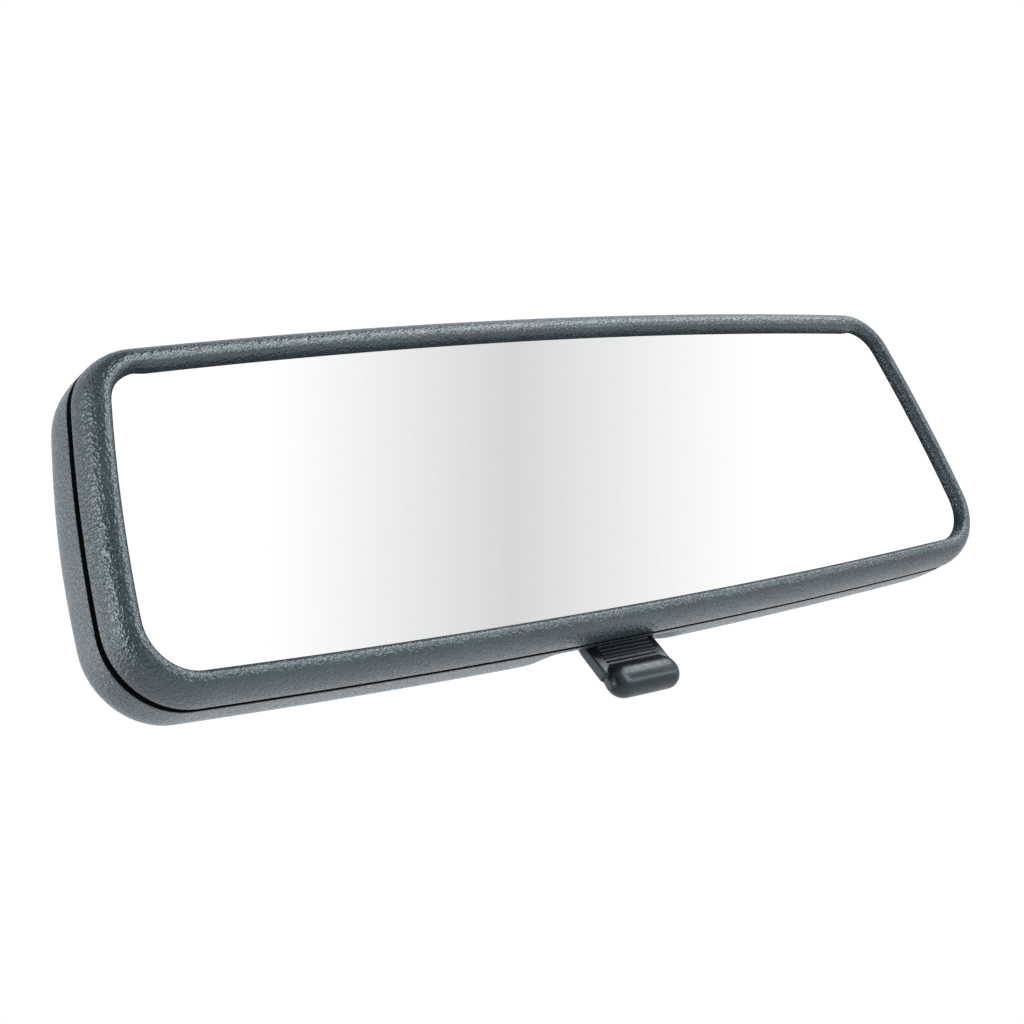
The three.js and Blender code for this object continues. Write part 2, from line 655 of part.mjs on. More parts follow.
function ballStud() {
  const half = Math.asin(BALL.neck / BALL.radius) / RAD;
  const neckStart = BALL.radius * Math.cos(half * RAD);
  const profile = [
    [0, -BALL.radius],
    ...ballArc(BALL.radius, 165, half, 10),
    [BALL.neck, neckStart + SHANK.flare[0]],
    [SHANK.collar, neckStart + SHANK.flare[1]],
    [SHANK.collar, SHANK.shoulder],
    [SHANK.radius, SHANK.shoulder],
    [SHANK.radius, SHANK.end],
    [0, SHANK.end],
  ];
  return turnedAtBall(profile, 24);
}

// ---------------------------------------------------------------- windscreen end

/** Turn a piece drawn about +Y, with y = 0 on the bonding face, into its place. */
const atFace = (geometry) => geometry.rotateX(FACE.rake).translate(0, FACE.y, FACE.z);

function windscreenButton() {
  const b = BUTTON;
  const profile = [
    [0, -b.depth],
    [b.flange, -b.depth],
    [b.flange, -b.neckDepth],
    [b.neck, -b.neckDepth],
    [b.neck, -b.padDepth],
    [b.pad, -b.padDepth],
    [b.pad, 0],
    [0, 0],
  ];
  return atFace(turned(profile, 36));
}

/** Outline of a channel that is round at one end and open past the shoe at the other. */
function channelShape(half) {
  const shape = new THREE.Shape();
  shape.moveTo(half, 0);
  shape.absarc(0, 0, half, 0, Math.PI);
  shape.lineTo(-half, -SHOE.half - 2);
  shape.lineTo(half, -SHOE.half - 2);
  return shape;
}

/** Curved stalk as a loft of round sections from the ball's shank up to the shoe. */
function stalk() {
  const normal = new THREE.Vector3(0, Math.cos(FACE.rake), Math.sin(FACE.rake));
  const start = new THREE.Vector3(0, BALL.y + SHANK.shoulder + GAP, BALL.z);
  const end = new THREE.Vector3(0, FACE.y, FACE.z).addScaledVector(normal, STALK.sink - SHOE.bottom);
  const curve = new THREE.CubicBezierCurve3(
    start,
    start.clone().addScaledVector(Y_AXIS, STALK.startPull),
    end.clone().addScaledVector(normal, -STALK.endPull),
    end,
  );
  const rings = Array.from({ length: STALK.steps + 1 }, (_, step) => {
    const share = step / STALK.steps;
    const way = curve.getTangent(share);
    const up = new THREE.Vector3(0, -way.z, way.y);
    const radius = THREE.MathUtils.lerp(STALK.start, STALK.end, share);
    const centre = curve.getPoint(share);
    return Array.from({ length: STALK.sides }, (_, i) => {
      const angle = (i / STALK.sides) * 2 * Math.PI;
      const across = new THREE.Vector3(1, 0, 0).multiplyScalar(radius * Math.cos(angle));
      return centre.clone().add(across).addScaledVector(up, radius * Math.sin(angle));
    });
  });
  return loft(rings);
}

/** Die casting: a shoe that slides over the button, and the stalk down to the ball. */
function mountArm() {
  const shoe = atFace(
    plateXZ(roundedRectangle(SHOE.half, SHOE.half, SHOE.corner), -SHOE.bottom, -SHOE.top),
  );
  const lips = atFace(plateXZ(channelShape(BUTTON.neck + GAP), -SHOE.lips - 0.1, 0));
  const slot = atFace(plateXZ(channelShape(BUTTON.flange + GAP), -SHOE.slotFloor, -SHOE.lips));
  const screwHole = atFace(setScrewRod(SET_SCREW.radius + GAP, -SHOE.bottom - 1, -SHOE.lips, 16));
  const shankHole = rodY(
    SHANK.radius + GAP, BALL.y + SHANK.shoulder - 1, BALL.y + SHANK.end + GAP, 0, BALL.z, 16,
  );
  return cut(join(shoe, stalk()), lips, slot, screwHole, shankHole);
}

/** A rod on the set screw's axis, between two depths below the bonding face. */
const setScrewRod = (radius, from, to, sides) =>
  rod(radius, [0, from, -SET_SCREW.along], [0, to, -SET_SCREW.along], sides);

/** Socket-headed set screw that locks the shoe on the button. */
function buttonSetScrew() {
  const outerEnd = -SHOE.bottom + SET_SCREW.below;
  const body = setScrewRod(SET_SCREW.radius, outerEnd, -SHOE.slotFloor, 16);
  const socket = setScrewRod(SET_SCREW.hex, outerEnd - 1, outerEnd + SET_SCREW.socket, 6);
  return atFace(cut(body, socket));
}

// ---------------------------------------------------------------- assembly

const group = new THREE.Group();
group.position.set(0, -FACE.y, -FACE.z);

function addPiece(name, geometry, finish) {
  const mesh = new THREE.Mesh(geometry, finish);
  mesh.name = name;
  group.add(mesh);
}

addPiece('windscreen_button', windscreenButton(), FINISH.steel);
addPiece('mount_arm', mountArm(), FINISH.zinc);
addPiece('button_set_screw', buttonSetScrew(), FINISH.steel);
addPiece('ball_stud', ballStud(), FINISH.steel);
addPiece('socket_liner', socketLiner(), FINISH.nylon);
addPiece('ball_retainer', ballRetainer(), FINISH.nylon);
addPiece('pivot_bracket', pivotBracket(), FINISH.carrier);
addPiece('socket_clamp_plate', socketClampPlate(), FINISH.zinc);
clampScrewPlaces().forEach((place, i) => addPiece(`clamp_screw_${i + 1}`, clampScrew(place), FINISH.steel));
addPiece('socket_spring', socketSpring(), FINISH.springSteel);
addPiece('rear_housing', rearHousing(), FINISH.casing);
addPiece('front_bezel', frontBezel(), FINISH.casing);
addPiece('mirror_glass', mirrorGlass(), FINISH.glass);
addPiece('glass_backing_film', glassBackingFilm(), FINISH.film);
addPiece('foam_strip_upper', foamStrip(FOAM.upper), FINISH.foam);
addPiece('foam_strip_lower', foamStrip(FOAM.lower), FINISH.foam);
addPiece('mechanism_carrier', mechanismCarrier(), FINISH.carrier);
CARRIER_SCREWS.forEach((place, i) => addPiece(`carrier_screw_${i + 1}`, carrierScrew(place), FINISH.steel));
addPiece('hinge_pin', hingePin(), FINISH.steel);
addPiece('lever_pivot_pin', leverPivotPin(), FINISH.steel);
addPiece('toggle_spring', toggleSpring(), FINISH.springSteel);
addPiece('dip_lever', dipLever(), FINISH.lever);

export default group;
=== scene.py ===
"""Interior rearview mirror: the visible surfaces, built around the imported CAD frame.

Meshes are drawn in millimetres about the middle of the glass opening ("head frame": +X along
the mirror, +Y away from its glass, +Z up) and turned into metres in the row frame when made.
"""
import json
import math

import bmesh
import bpy
from mathutils import Matrix, Vector
from mathutils.bvhtree import BVHTree


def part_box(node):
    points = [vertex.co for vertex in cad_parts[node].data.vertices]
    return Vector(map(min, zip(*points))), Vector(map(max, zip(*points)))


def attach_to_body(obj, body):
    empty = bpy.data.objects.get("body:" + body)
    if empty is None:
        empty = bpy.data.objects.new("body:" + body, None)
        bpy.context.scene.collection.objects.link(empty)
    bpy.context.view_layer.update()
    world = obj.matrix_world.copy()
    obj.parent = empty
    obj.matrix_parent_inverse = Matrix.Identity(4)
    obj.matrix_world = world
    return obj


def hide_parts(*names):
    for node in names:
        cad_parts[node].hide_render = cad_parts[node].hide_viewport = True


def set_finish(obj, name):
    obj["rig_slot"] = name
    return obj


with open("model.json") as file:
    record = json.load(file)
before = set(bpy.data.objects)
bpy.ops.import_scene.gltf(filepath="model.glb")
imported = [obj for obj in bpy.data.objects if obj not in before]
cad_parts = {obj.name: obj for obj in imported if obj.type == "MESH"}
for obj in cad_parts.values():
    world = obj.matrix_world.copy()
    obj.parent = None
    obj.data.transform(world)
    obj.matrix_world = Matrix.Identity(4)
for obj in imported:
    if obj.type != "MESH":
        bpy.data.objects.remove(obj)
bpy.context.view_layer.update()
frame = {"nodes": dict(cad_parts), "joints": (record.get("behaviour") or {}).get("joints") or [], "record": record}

# ------------------------------------------------------------------ driving dimensions, mm

MM = 0.001
OPENING = dict(
    half_width=115.0, top=36.0, bottom=26.6, top_radius=2000.0, bottom_radius=2700.0,
    side_radius=300.0, side_lean=math.radians(8), top_corner=8.2, bottom_corner=9.4,
)
BEZEL = dict(width=5.7, crest=3.1, crest_at=1.55, lip=1.9, skirt=1.5, skirt_end=7.6, gap_edge=3.85)
HOUSING = dict(
    rim=5.55, rim_edge=5.75, depth=28.6, round_long=3.4, round_high=3.1, oval_late=4, wall=2.0,
    arm_hole=17.0, recess=4.5, recess_half=22.0, recess_flat=12.0,
)
GLASS = dict(
    front=0.06, back_from=0.3, bottom_thickness=2.4, wedge=math.radians(3.2), room=0.3, arris=0.4,
)
EDGE = 0.22  # radius of the small roundings along the parting gap
MIDDLE = (OPENING["top"] - OPENING["bottom"]) / 2

low_corner, high_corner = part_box("front_bezel")
HEAD = Vector((
    0,
    low_corner.y + BEZEL["crest"] * MM,
    low_corner.z + (OPENING["bottom"] + BEZEL["width"]) * MM,
))
JOINTS = {joint["name"]: joint for joint in frame["joints"]}


def in_head(point):
    """A point of the row frame, in metres, as head-frame millimetres."""
    return (Vector(point) - HEAD) / MM


BALL = in_head(JOINTS["head_yaw"]["pos_m"])
LEVER = in_head(JOINTS["lever_flip"]["pos_m"])


# ------------------------------------------------------------------ mesh helpers

def make(name, points, faces, body, slot, *replaced, sharp=35):
    """An object from head-frame points: smooth, with edges over a sharp angle kept crisp."""
    mesh = bpy.data.meshes.new(name)
    mesh.from_pydata([HEAD + Vector(p) * MM for p in points], [], faces)
    mesh.update()
    piece = bpy.data.objects.new(name, mesh)
    bpy.context.scene.collection.objects.link(piece)
    tidy_normals(piece, sharp)
    if body:
        attach(piece, body, slot, *replaced)
    return piece


def attach(piece, body, slot, *replaced):
    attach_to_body(piece, body)
    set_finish(piece, slot)
    if replaced:
        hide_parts(*replaced)


def tidy_normals(piece, sharp):
    work = bmesh.new()
    work.from_mesh(piece.data)
    bmesh.ops.remove_doubles(work, verts=work.verts, dist=1e-7)
    loose = [edge for edge in work.edges if not edge.link_faces]
    bmesh.ops.delete(work, geom=loose, context="EDGES")
    bmesh.ops.recalc_face_normals(work, faces=work.faces)
    limit = math.radians(sharp)
    for face in work.faces:
        face.smooth = True
    for edge in work.edges:
        edge.smooth = edge.is_manifold and edge.calc_face_angle(0) < limit
    work.to_mesh(piece.data)
    work.free()


def band_faces(count, rings, closed):
    """Quads between neighbouring rings of points."""
    bands = rings if closed else rings - 1
    faces = []
    for band in range(bands):
        here, there = band * count, ((band + 1) % rings) * count
        for i in range(count):
            j = (i + 1) % count
            faces.append((here + i, here + j, there + j, there + i))
    return faces


def loft(rings, closed=False):
    """Points and faces of a skin over rings; open ends are closed by a fan."""
    count = len(rings[0])
    points = [Vector(p) for ring in rings for p in ring]
    faces = band_faces(count, len(rings), closed)
    if not closed:
        for ring, first in ((rings[0], 0), (rings[-1], (len(rings) - 1) * count)):
            points.append(sum((Vector(p) for p in ring), Vector()) / count)
            hub = len(points) - 1
            faces += [(hub, first + i, first + (i + 1) % count) for i in range(count)]
    return points, faces


def turned(profile, origin, axis, steps=64):
    """A body of revolution from (radius, along) pairs; the profile is a closed loop."""
    turn = Vector((0, 0, 1)).rotation_difference(Vector(axis))
    rings = []
    for step in range(steps):
        angle = 2 * math.pi * step / steps
        spoke = Vector((math.cos(angle), math.sin(angle), 0))
        rings.append([
            Vector(origin) + turn @ (spoke * radius + Vector((0, 0, along)))
            for radius, along in profile
        ])
    return loft(rings, closed=True)


def round_off(profile, radius, steps=4):
    """Round the corners of a closed (radius, along) profile, except on the axis."""
    points = [Vector(p) for p in profile]
    rounded = []
    for i, corner in enumerate(points):
        back, on = points[i - 1] - corner, points[(i + 1) % len(points)] - corner
        if corner.x < 0.01 or back.angle(on) > math.radians(155):
            rounded.append(tuple(corner))
            continue
        reach = min(radius, back.length / 2.2, on.length / 2.2)
        a, b = corner + back.normalized() * reach, corner + on.normalized() * reach
        rounded += [tuple(a.lerp(corner, k / steps).lerp(corner.lerp(b, k / steps), k / steps))
                    for k in range(steps + 1)]
    return rounded


def settle(piece, sharp=35):
    """Apply a piece's modifiers."""
    bpy.context.view_layer.update()
    ready = piece.evaluated_get(bpy.context.evaluated_depsgraph_get())
    mesh = bpy.data.meshes.new_from_object(ready)
    piece.modifiers.clear()
    piece.data = mesh
    tidy_normals(piece, sharp)
    return piece


def combine(piece, tool, operation):
    """Join a tool object to a piece, or cut it away, and delete the tool."""
    step = piece.modifiers.new("combine", "BOOLEAN")
    step.operation = operation
    step.solver = "EXACT"
    step.object = tool
    settle(piece)
    bpy.data.objects.remove(tool)
    return piece


def loose(name, shape):
    """A tool object that isn't a piece of its own."""
    return make(name, *shape, None, None)


def fillet(centre, radius, start, end, steps=5):
    """Points on a small arc in a section, angles in degrees."""
    angles = [math.radians(start + (end - start) * i / steps) for i in range(steps + 1)]
    return [(centre[0] + radius * math.cos(a), centre[1] + radius * math.sin(a)) for a in angles]


def rounded_loop(half_a, half_b, corner, steps=8):
    """A rounded rectangle as (a, b) pairs, anticlockwise."""
    points = []
    for sign_a, sign_b, start in ((1, 1, 0), (-1, 1, 90), (-1, -1, 180), (1, -1, 270)):
        centre = (sign_a * (half_a - corner), sign_b * (half_b - corner))
        points += fillet(centre, corner, start, start + 90, steps)
    return points


# ------------------------------------------------------------------ outline of the head

def crossing(a, radius_a, b, radius_b, guess):
    """Where two circles cross, nearest to a guess."""
    between = b - a
    distance = between.length
    along = (distance ** 2 + radius_a ** 2 - radius_b ** 2) / (2 * distance)
    side = math.sqrt(radius_a ** 2 - along ** 2)
    unit = between / distance
    across = Vector((-unit.y, unit.x)) * side
    return min((a + unit * along + across, a + unit * along - across), key=lambda p: (p - guess).length)


def arc(centre, radius, start, end, steps):
    """(point, outward normal) pairs along an arc, without its last point."""
    pairs = []
    for step in range(steps):
        angle = start + (end - start) * step / steps
        normal = Vector((math.cos(angle), math.sin(angle)))
        pairs.append((centre + normal * radius, normal))
    return pairs


def make_outline():
    o = OPENING
    top = Vector((0, o["top"] - o["top_radius"]))
    bottom = Vector((0, o["bottom_radius"] - o["bottom"]))
    lean = o["side_lean"]
    side = Vector((o["half_width"], 0)) - o["side_radius"] * Vector((math.cos(lean), math.sin(lean)))
    upper = crossing(
        top, o["top_radius"] - o["top_corner"], side, o["side_radius"] - o["top_corner"],
        Vector((o["half_width"] - o["top_corner"], o["top"] - o["top_corner"])),
    )
    lower = crossing(
        bottom, o["bottom_radius"] - o["bottom_corner"], side, o["side_radius"] - o["bottom_corner"],
        Vector((o["half_width"] - o["bottom_corner"], o["bottom_corner"] - o["bottom"])),
    )
    heading = lambda centre, point: math.atan2(point.y - centre.y, point.x - centre.x)
    right = (
        arc(top, o["top_radius"], math.pi / 2, heading(top, upper), 60)
        + arc(upper, o["top_corner"], heading(top, upper), heading(side, upper), 16)
        + arc(side, o["side_radius"], heading(side, upper), heading(side, lower), 24)
        + arc(lower, o["bottom_corner"], heading(side, lower), heading(bottom, lower), 16)
        + arc(bottom, o["bottom_radius"], heading(bottom, lower), -math.pi / 2, 80)
        + [(Vector((0, -o["bottom"])), Vector((0, -1)))]
    )
    left = [(Vector((-p.x, p.y)), Vector((-n.x, n.y))) for p, n in reversed(right[1:-1])]
    return right + left


OUTLINE = make_outline()


def ring(outside, y):
    """A ring outside the opening's edge; y is a number or a function of height."""
    points = []
    for at, normal in OUTLINE:
        place = at + normal * outside
        points.append(Vector((place.x, y(place.y) if callable(y) else y, place.y)))
    return points


def smooth_step(value, low, high):
    share = min(max((value - low) / (high - low), 0), 1)
    return share * share * (3 - 2 * share)


# ------------------------------------------------------------------ casing

def bezel_section():
    """Bead and skirt as (outside, y) pairs, starting at the inner edge."""
    b = BEZEL
    steps = 14
    quarter = [math.pi / 2 * i / steps for i in range(steps + 1)]
    inner = [(b["crest_at"] * (1 - math.cos(a)), -b["crest"] * math.sin(a)) for a in quarter]
    outer_long = b["gap_edge"] + b["crest"]
    outer_wide = b["width"] - b["crest_at"]
    outer = [
        (b["crest_at"] + outer_wide * math.sin(a), b["gap_edge"] - outer_long * math.cos(a))
        for a in quarter[1:-1]
    ]
    edge = fillet((b["width"] - EDGE, b["gap_edge"] - EDGE), EDGE, 0, 90)
    skirt_outer = b["lip"] + b["skirt"]
    skirt = [
        (skirt_outer, b["gap_edge"]), (skirt_outer, b["skirt_end"]),
        (b["lip"], b["skirt_end"]), (b["lip"], 0),
    ]
    return inner + outer + edge + skirt


STEP = dict(half=103.5, run=2.5, drop=0.32)


def stepped(point, outside):
    """Lower the inner edge of the top bar a little between the two upper corners."""
    if point.z < 0 or outside >= BEZEL["crest_at"]:
        return point
    middle = 1 - smooth_step(abs(point.x), STEP["half"] - STEP["run"], STEP["half"])
    return point - Vector((0, 0, STEP["drop"] * middle * (1 - outside / BEZEL["crest_at"])))


def build_bezel():
    rings = [
        [stepped(point, outside) for point in ring(outside, y)] for outside, y in bezel_section()
    ]
    return make("bezel_ring", *loft(rings, closed=True), "head", "casing", "front_bezel")


def paint_gap_shade(piece, low, high):
    """Faces wholly between two depths line the parting gap: they get a near-black, ungrained, almost unreflective
    material that paints the gap's shade.
    """
    piece.data.materials.append(PAINTED_GAP_SHADE)
    for face in piece.data.polygons:
        if all(low < in_head(piece.data.vertices[v].co).y < high for v in face.vertices):
            face.material_index = 1


def scoop(point):
    """Raise a housing point where the bottom wall is scooped in around the lever."""
    if point.z > MIDDLE:
        return point
    h = HOUSING
    across = 1 - smooth_step(abs(point.x), h["recess_flat"], h["recess_half"])
    deep = min(max((point.y - BEZEL["skirt_end"] - 0.3) / 5, 0), 1)
    low = min(max((MIDDLE - 10 - point.z) / 10, 0), 1)
    return point + Vector((0, 0, h["recess"] * across * deep * low))


def dome_rings(outside, depth, shares):
    """Rings of one housing skin, from the rim to the middle of the back."""
    h = HOUSING
    rim = ring(outside, h["rim"])
    half_long = max(p.x for p in rim)
    half_high = max(p.z for p in rim) - MIDDLE
    rings = []
    for share in shares:
        long = (1 - share ** h["round_long"]) ** (1 / h["round_long"])
        high = (1 - share ** h["round_high"]) ** (1 / h["round_high"])
        oval = share ** h["oval_late"]
        points = []
        for p in rim:
            angle = math.atan2((p.z - MIDDLE) / half_high, p.x / half_long)
            x = long * (p.x + oval * (half_long * math.cos(angle) - p.x))
            z = high * (p.z - MIDDLE + oval * (half_high * math.sin(angle) - p.z + MIDDLE))
            points.append(scoop(Vector((x, p.y + depth * share, MIDDLE + z))))
        rings.append(points)
    return rings


def eased_shares(steps, last=0.9985):
    """Shares of the depth that crowd together towards the back."""
    return [last * math.sin(math.pi / 2 * i / steps) for i in range(steps + 1)]


def build_housing():
    h = HOUSING
    outer = dome_rings(BEZEL["width"], h["depth"], eased_shares(44))
    edge = [
        ring(BEZEL["width"] - EDGE * (1 - math.cos(a)), h["rim_edge"] + EDGE * (1 - math.sin(a)))
        for a in (math.radians(15 * i) for i in range(1, 6))
    ]
    outer[0] = ring(BEZEL["width"], h["rim_edge"] + EDGE)
    rim_face = ring(BEZEL["width"] - EDGE, h["rim_edge"])
    inner = dome_rings(BEZEL["width"] - h["wall"], h["depth"] - h["wall"], eased_shares(30))
    skin = loft(list(reversed(outer)) + edge + [rim_face] + inner)
    shell = make("housing_shell", *skin, "head", "casing", "rear_housing")
    outside = BVHTree.FromPolygons(*loft(outer))
    hole = turned([(0.001, -12), (h["arm_hole"], -12), (h["arm_hole"], 12), (0.001, 12)],
                  (0, h["rim"] + h["depth"], BALL.z), (0, 1, 0), 96)
    combine(shell, loose("hole_tool", hole), "DIFFERENCE")
    slot_loop = rounded_loop(SLOT["half"], (SLOT["back"] - SLOT["front"]) / 2, SLOT["corner"])
    slot_middle = (SLOT["back"] + SLOT["front"]) / 2
    slot_rings = [[Vector((a, slot_middle + b, z)) for a, b in slot_loop] for z in (-45, -21.5)]
    combine(shell, loose("slot_tool", loft(slot_rings)), "DIFFERENCE")
    add_rim(shell, outside)
    return shell


SLOT = dict(half=12.4, front=8.3, back=23.5, corner=2.0)


def add_rim(shell, outside):
    """Rolled rim around the arm's hole."""
    circle = [math.radians(360 * i / 120) for i in range(120)]
    hole_path = []
    for angle in circle:
        x, z = HOUSING["arm_hole"] * math.cos(angle), BALL.z + HOUSING["arm_hole"] * math.sin(angle)
        spot = outside.ray_cast(Vector((x, 80, z)), Vector((0, -1, 0)))[0]
        hole_path.append(spot)
    combine(shell, loose("hole_rim", bead(hole_path, 1.0, Vector((0, 1, 0)), -0.45)), "UNION")


def bead(path, radius, outward, lift=0.0, sides=12):
    """A closed round bead along a path; outward is roughly square to the surface."""
    count = len(path)
    middle = sum(path, Vector()) / count
    rings = []
    for i, spot in enumerate(path):
        way = (path[(i + 1) % count] - path[i - 1]).normalized()
        side = way.cross(outward).normalized()
        if side.dot(spot - middle) < 0:
            side = -side
        up = side.cross(way)
        if up.dot(outward) < 0:
            up = -up
        centre = spot + up * lift + side * radius * 0.35
        rings.append([
            centre + side * radius * math.cos(a) + up * radius * math.sin(a)
            for a in (2 * math.pi * k / sides for k in range(sides))
        ])
    return loft(rings, closed=True)


# ------------------------------------------------------------------ glass

def glass_back(z):
    """The wedge's back face: how far behind the opening it is at a height."""
    above_edge = z + OPENING["bottom"] + BEZEL["lip"] - GLASS["room"]
    return GLASS["back_from"] + GLASS["bottom_thickness"] + above_edge * math.tan(GLASS["wedge"])


def build_glass():
    """Wedge glass with a ground arris round its front edge."""
    edge = BEZEL["lip"] - GLASS["room"]
    arris = GLASS["arris"]
    rings = [
        ring(edge - arris, GLASS["front"]),
        ring(edge, GLASS["front"] + arris),
        ring(edge, lambda z: glass_back(z) - arris),
        ring(edge - arris, glass_back),
    ]
    return make("prism_glass", *loft(rings), "head", "mirror", "mirror_glass", sharp=20)


# ------------------------------------------------------------------ lever

BLADE = dict(half=9.9, root=Vector((10.6, -32.0)), tip=Vector((7.2, -39.4)), thick=2.8)
PAD = dict(y=6.4, z=-40.9, half=9.9, high=3.9, corner=3.8, front=3.35, back=3.1)
RIBS = dict(count=6, pitch=1.0, half=7.5, start=1.1, proud=0.4, half_width=0.2)


def lever_axes():
    """Down the blade and out of its front face, as head-frame vectors."""
    flat = (BLADE["tip"] - BLADE["root"]).normalized()
    down = Vector((0, flat.x, flat.y))
    return down, Vector((0, flat.y, -flat.x))


def bar(loop, x0, x1, edge):
    """A bar along X from a (y, z) loop, with rounded ends of a small radius."""
    middle = sum((Vector((0, y, z)) for y, z in loop), Vector()) / len(loop)
    stations = [(x0, edge)]
    for a in (math.radians(22.5 * i) for i in range(1, 5)):
        stations.append((x0 + edge * (1 - math.cos(a)), edge * (1 - math.sin(a))))
    stations += [(x0 + x1 - x, inset) for x, inset in reversed(stations)]
    rings = []
    for x, inset in stations:
        points = []
        for y, z in loop:
            spoke = Vector((0, y, z)) - middle
            points.append(Vector((x, 0, 0)) + middle + spoke * (1 - inset / max(spoke.length, inset)))
        rings.append(points)
    return loft(rings)


def blade_loop():
    half = BLADE["thick"] / 2
    front = lever_axes()[1]
    across = Vector((front.y, front.z)) * half
    root, tip = BLADE["root"], BLADE["tip"]
    hub = Vector((LEVER.y, LEVER.z))
    wide = Vector((half, 0))
    corners = [hub - wide, root + across, tip + across, tip - across, root - across, hub + wide]
    loop = []
    for i, corner in enumerate(corners):
        after = corners[(i + 1) % len(corners)]
        loop += [tuple(corner.lerp(after, k / 6)) for k in range(6)]
    return loop


def pad_shape():
    """The thumb pad: a rounded bar that bulges to the front."""
    p = PAD
    down, front = lever_axes()
    centre = Vector((0, p["y"], p["z"]))
    rings = []
    steps = 12
    for i in range(1, 2 * steps):
        angle = math.pi * i / (2 * steps)
        depth = -math.cos(angle)
        inset = p["high"] * (1 - math.sin(angle) ** 0.9)
        loop = rounded_loop(p["half"] - inset, p["high"] - inset, max(p["corner"] - inset, 0.05), 6)
        push = depth * (p["back"] if depth < 0 else p["front"])
        rings.append([centre + Vector((a, 0, 0)) - down * b + front * push for a, b in loop])
    return loft(rings)


def rod_x(radius, x0, x1, y, z):
    return turned([(0.001, x0), (radius, x0), (radius, x1), (0.001, x1)], (0, y, z), (1, 0, 0), 48)


def build_lever():
    down, front = lever_axes()
    lever = make("flip_lever", *bar(blade_loop(), -BLADE["half"], BLADE["half"], 0.5), None, None)
    combine(lever, loose("pad", pad_shape()), "UNION")
    low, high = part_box("dip_lever")
    hub_half = (high.x - low.x) / 2 / MM
    combine(lever, loose("hub", rod_x(4.0, -hub_half, hub_half, LEVER.y, LEVER.z)), "UNION")
    remesh = lever.modifiers.new("remesh", "REMESH")
    remesh.mode = "VOXEL"
    remesh.voxel_size = 0.28 * MM
    smooth = lever.modifiers.new("smooth", "SMOOTH")
    smooth.factor = 0.5
    smooth.iterations = 6
    settle(lever)
    surface = BLADE["thick"] / 2
    root = Vector((0, BLADE["root"].x, BLADE["root"].y))
    for i in range(RIBS["count"]):
        place = root + down * (RIBS["start"] + i * RIBS["pitch"]) + front * (surface - 0.15)
        combine(lever, loose("rib", rib_shape(place, down, front)), "UNION")
    cut_mechanism(lever)
    attach(lever, "lever", "lever", "dip_lever")
    return lever


def rib_shape(place, down, front):
    """One fine grip rib: a half-round bar with rounded ends."""
    half, tall, wide = RIBS["half"], RIBS["proud"] + 0.15, RIBS["half_width"]
    rings = []
    steps = 6
    for i in range(steps + 1):
        reach = math.sin(math.pi / 2 * i / steps)
        x = -half - wide + wide * (1 - math.cos(math.pi / 2 * i / steps))
        rings.append((x, max(reach, 0.05)))
    rings += [(-x, size) for x, size in reversed(rings)]
    section = [math.radians(180 * k / 8) for k in range(9)]
    return loft([
        [place + Vector((x, 0, 0)) + down * wide * size * math.cos(a) + front * tall * size * math.sin(a)
         for a in section]
        for x, size in rings
    ])


def cut_mechanism(lever):
    """Waist between the crank cheeks, crank pin and pivot bore."""
    cheek_from, crank_radius = 5.3, 4.18
    crank = math.radians(20)
    pin_y = LEVER.y + crank_radius * math.sin(crank)
    pin_z = LEVER.z + crank_radius * math.cos(crank)
    ring_cut = turned(
        [(2.45, -cheek_from), (5.0, -cheek_from), (5.0, cheek_from), (2.45, cheek_from)],
        (0, LEVER.y, LEVER.z), (1, 0, 0), 48,
    )
    below = [(LEVER.y + 9, LEVER.z - 2.6), (LEVER.y - 9, LEVER.z - 2.6)]
    keep = [[Vector((x, y, z)) for y, z in below + [(LEVER.y - 9, LEVER.z - 9), (LEVER.y + 9, LEVER.z - 9)]]
            for x in (-6, 6)]
    tool = loose("waist_tool", ring_cut)
    combine(tool, loose("waist_keep", loft(keep)), "DIFFERENCE")
    combine(lever, tool, "DIFFERENCE")
    for side in (-1, 1):
        x0, x1 = sorted((side * cheek_from, side * 8.3))
        combine(lever, loose("cheek", rod_x(2.2, x0, x1, pin_y, pin_z)), "UNION")
    combine(lever, loose("crank_pin", rod_x(1.4, -8.0, 8.0, pin_y, pin_z)), "UNION")
    combine(lever, loose("bore", rod_x(1.55, -20, 20, LEVER.y, LEVER.z)), "DIFFERENCE")


# ------------------------------------------------------------------ ball joint

ACROSS = Vector((0, 1, 0))
BALL_SIZE = dict(radius=7.5, neck=3.6, collar=5.0, shoulder=12.0, shank=3.0, shank_end=20.0)
LINER = dict(inner=7.8, outer=9.3)
CLAMP = dict(inner=9.6, outer=14.3, front=0.3, rear=4.7)
CLAMP_SCREW = dict(circle=12.1, radius=1.1, hole=1.4, head=2.1, head_height=1.4, tip=-7.0, seat=5.0)


def ball_arc(radius, start, end, steps=24):
    """Arc about the ball as (radius, along) pairs; angles in degrees from straight back."""
    angles = [math.radians(start + (end - start) * i / steps) for i in range(steps + 1)]
    return [(radius * math.sin(a), radius * math.cos(a)) for a in angles]


def at_ball(name, profile, body, slot, node, steps=96, corner=0.25):
    return make(name, *turned(round_off(profile, corner), BALL, ACROSS, steps), body, slot, node)


def cup(first, last):
    """Section of a nylon shell about the ball, between two angles from straight back."""
    return ball_arc(LINER["inner"], first, last) + ball_arc(LINER["outer"], last, first)


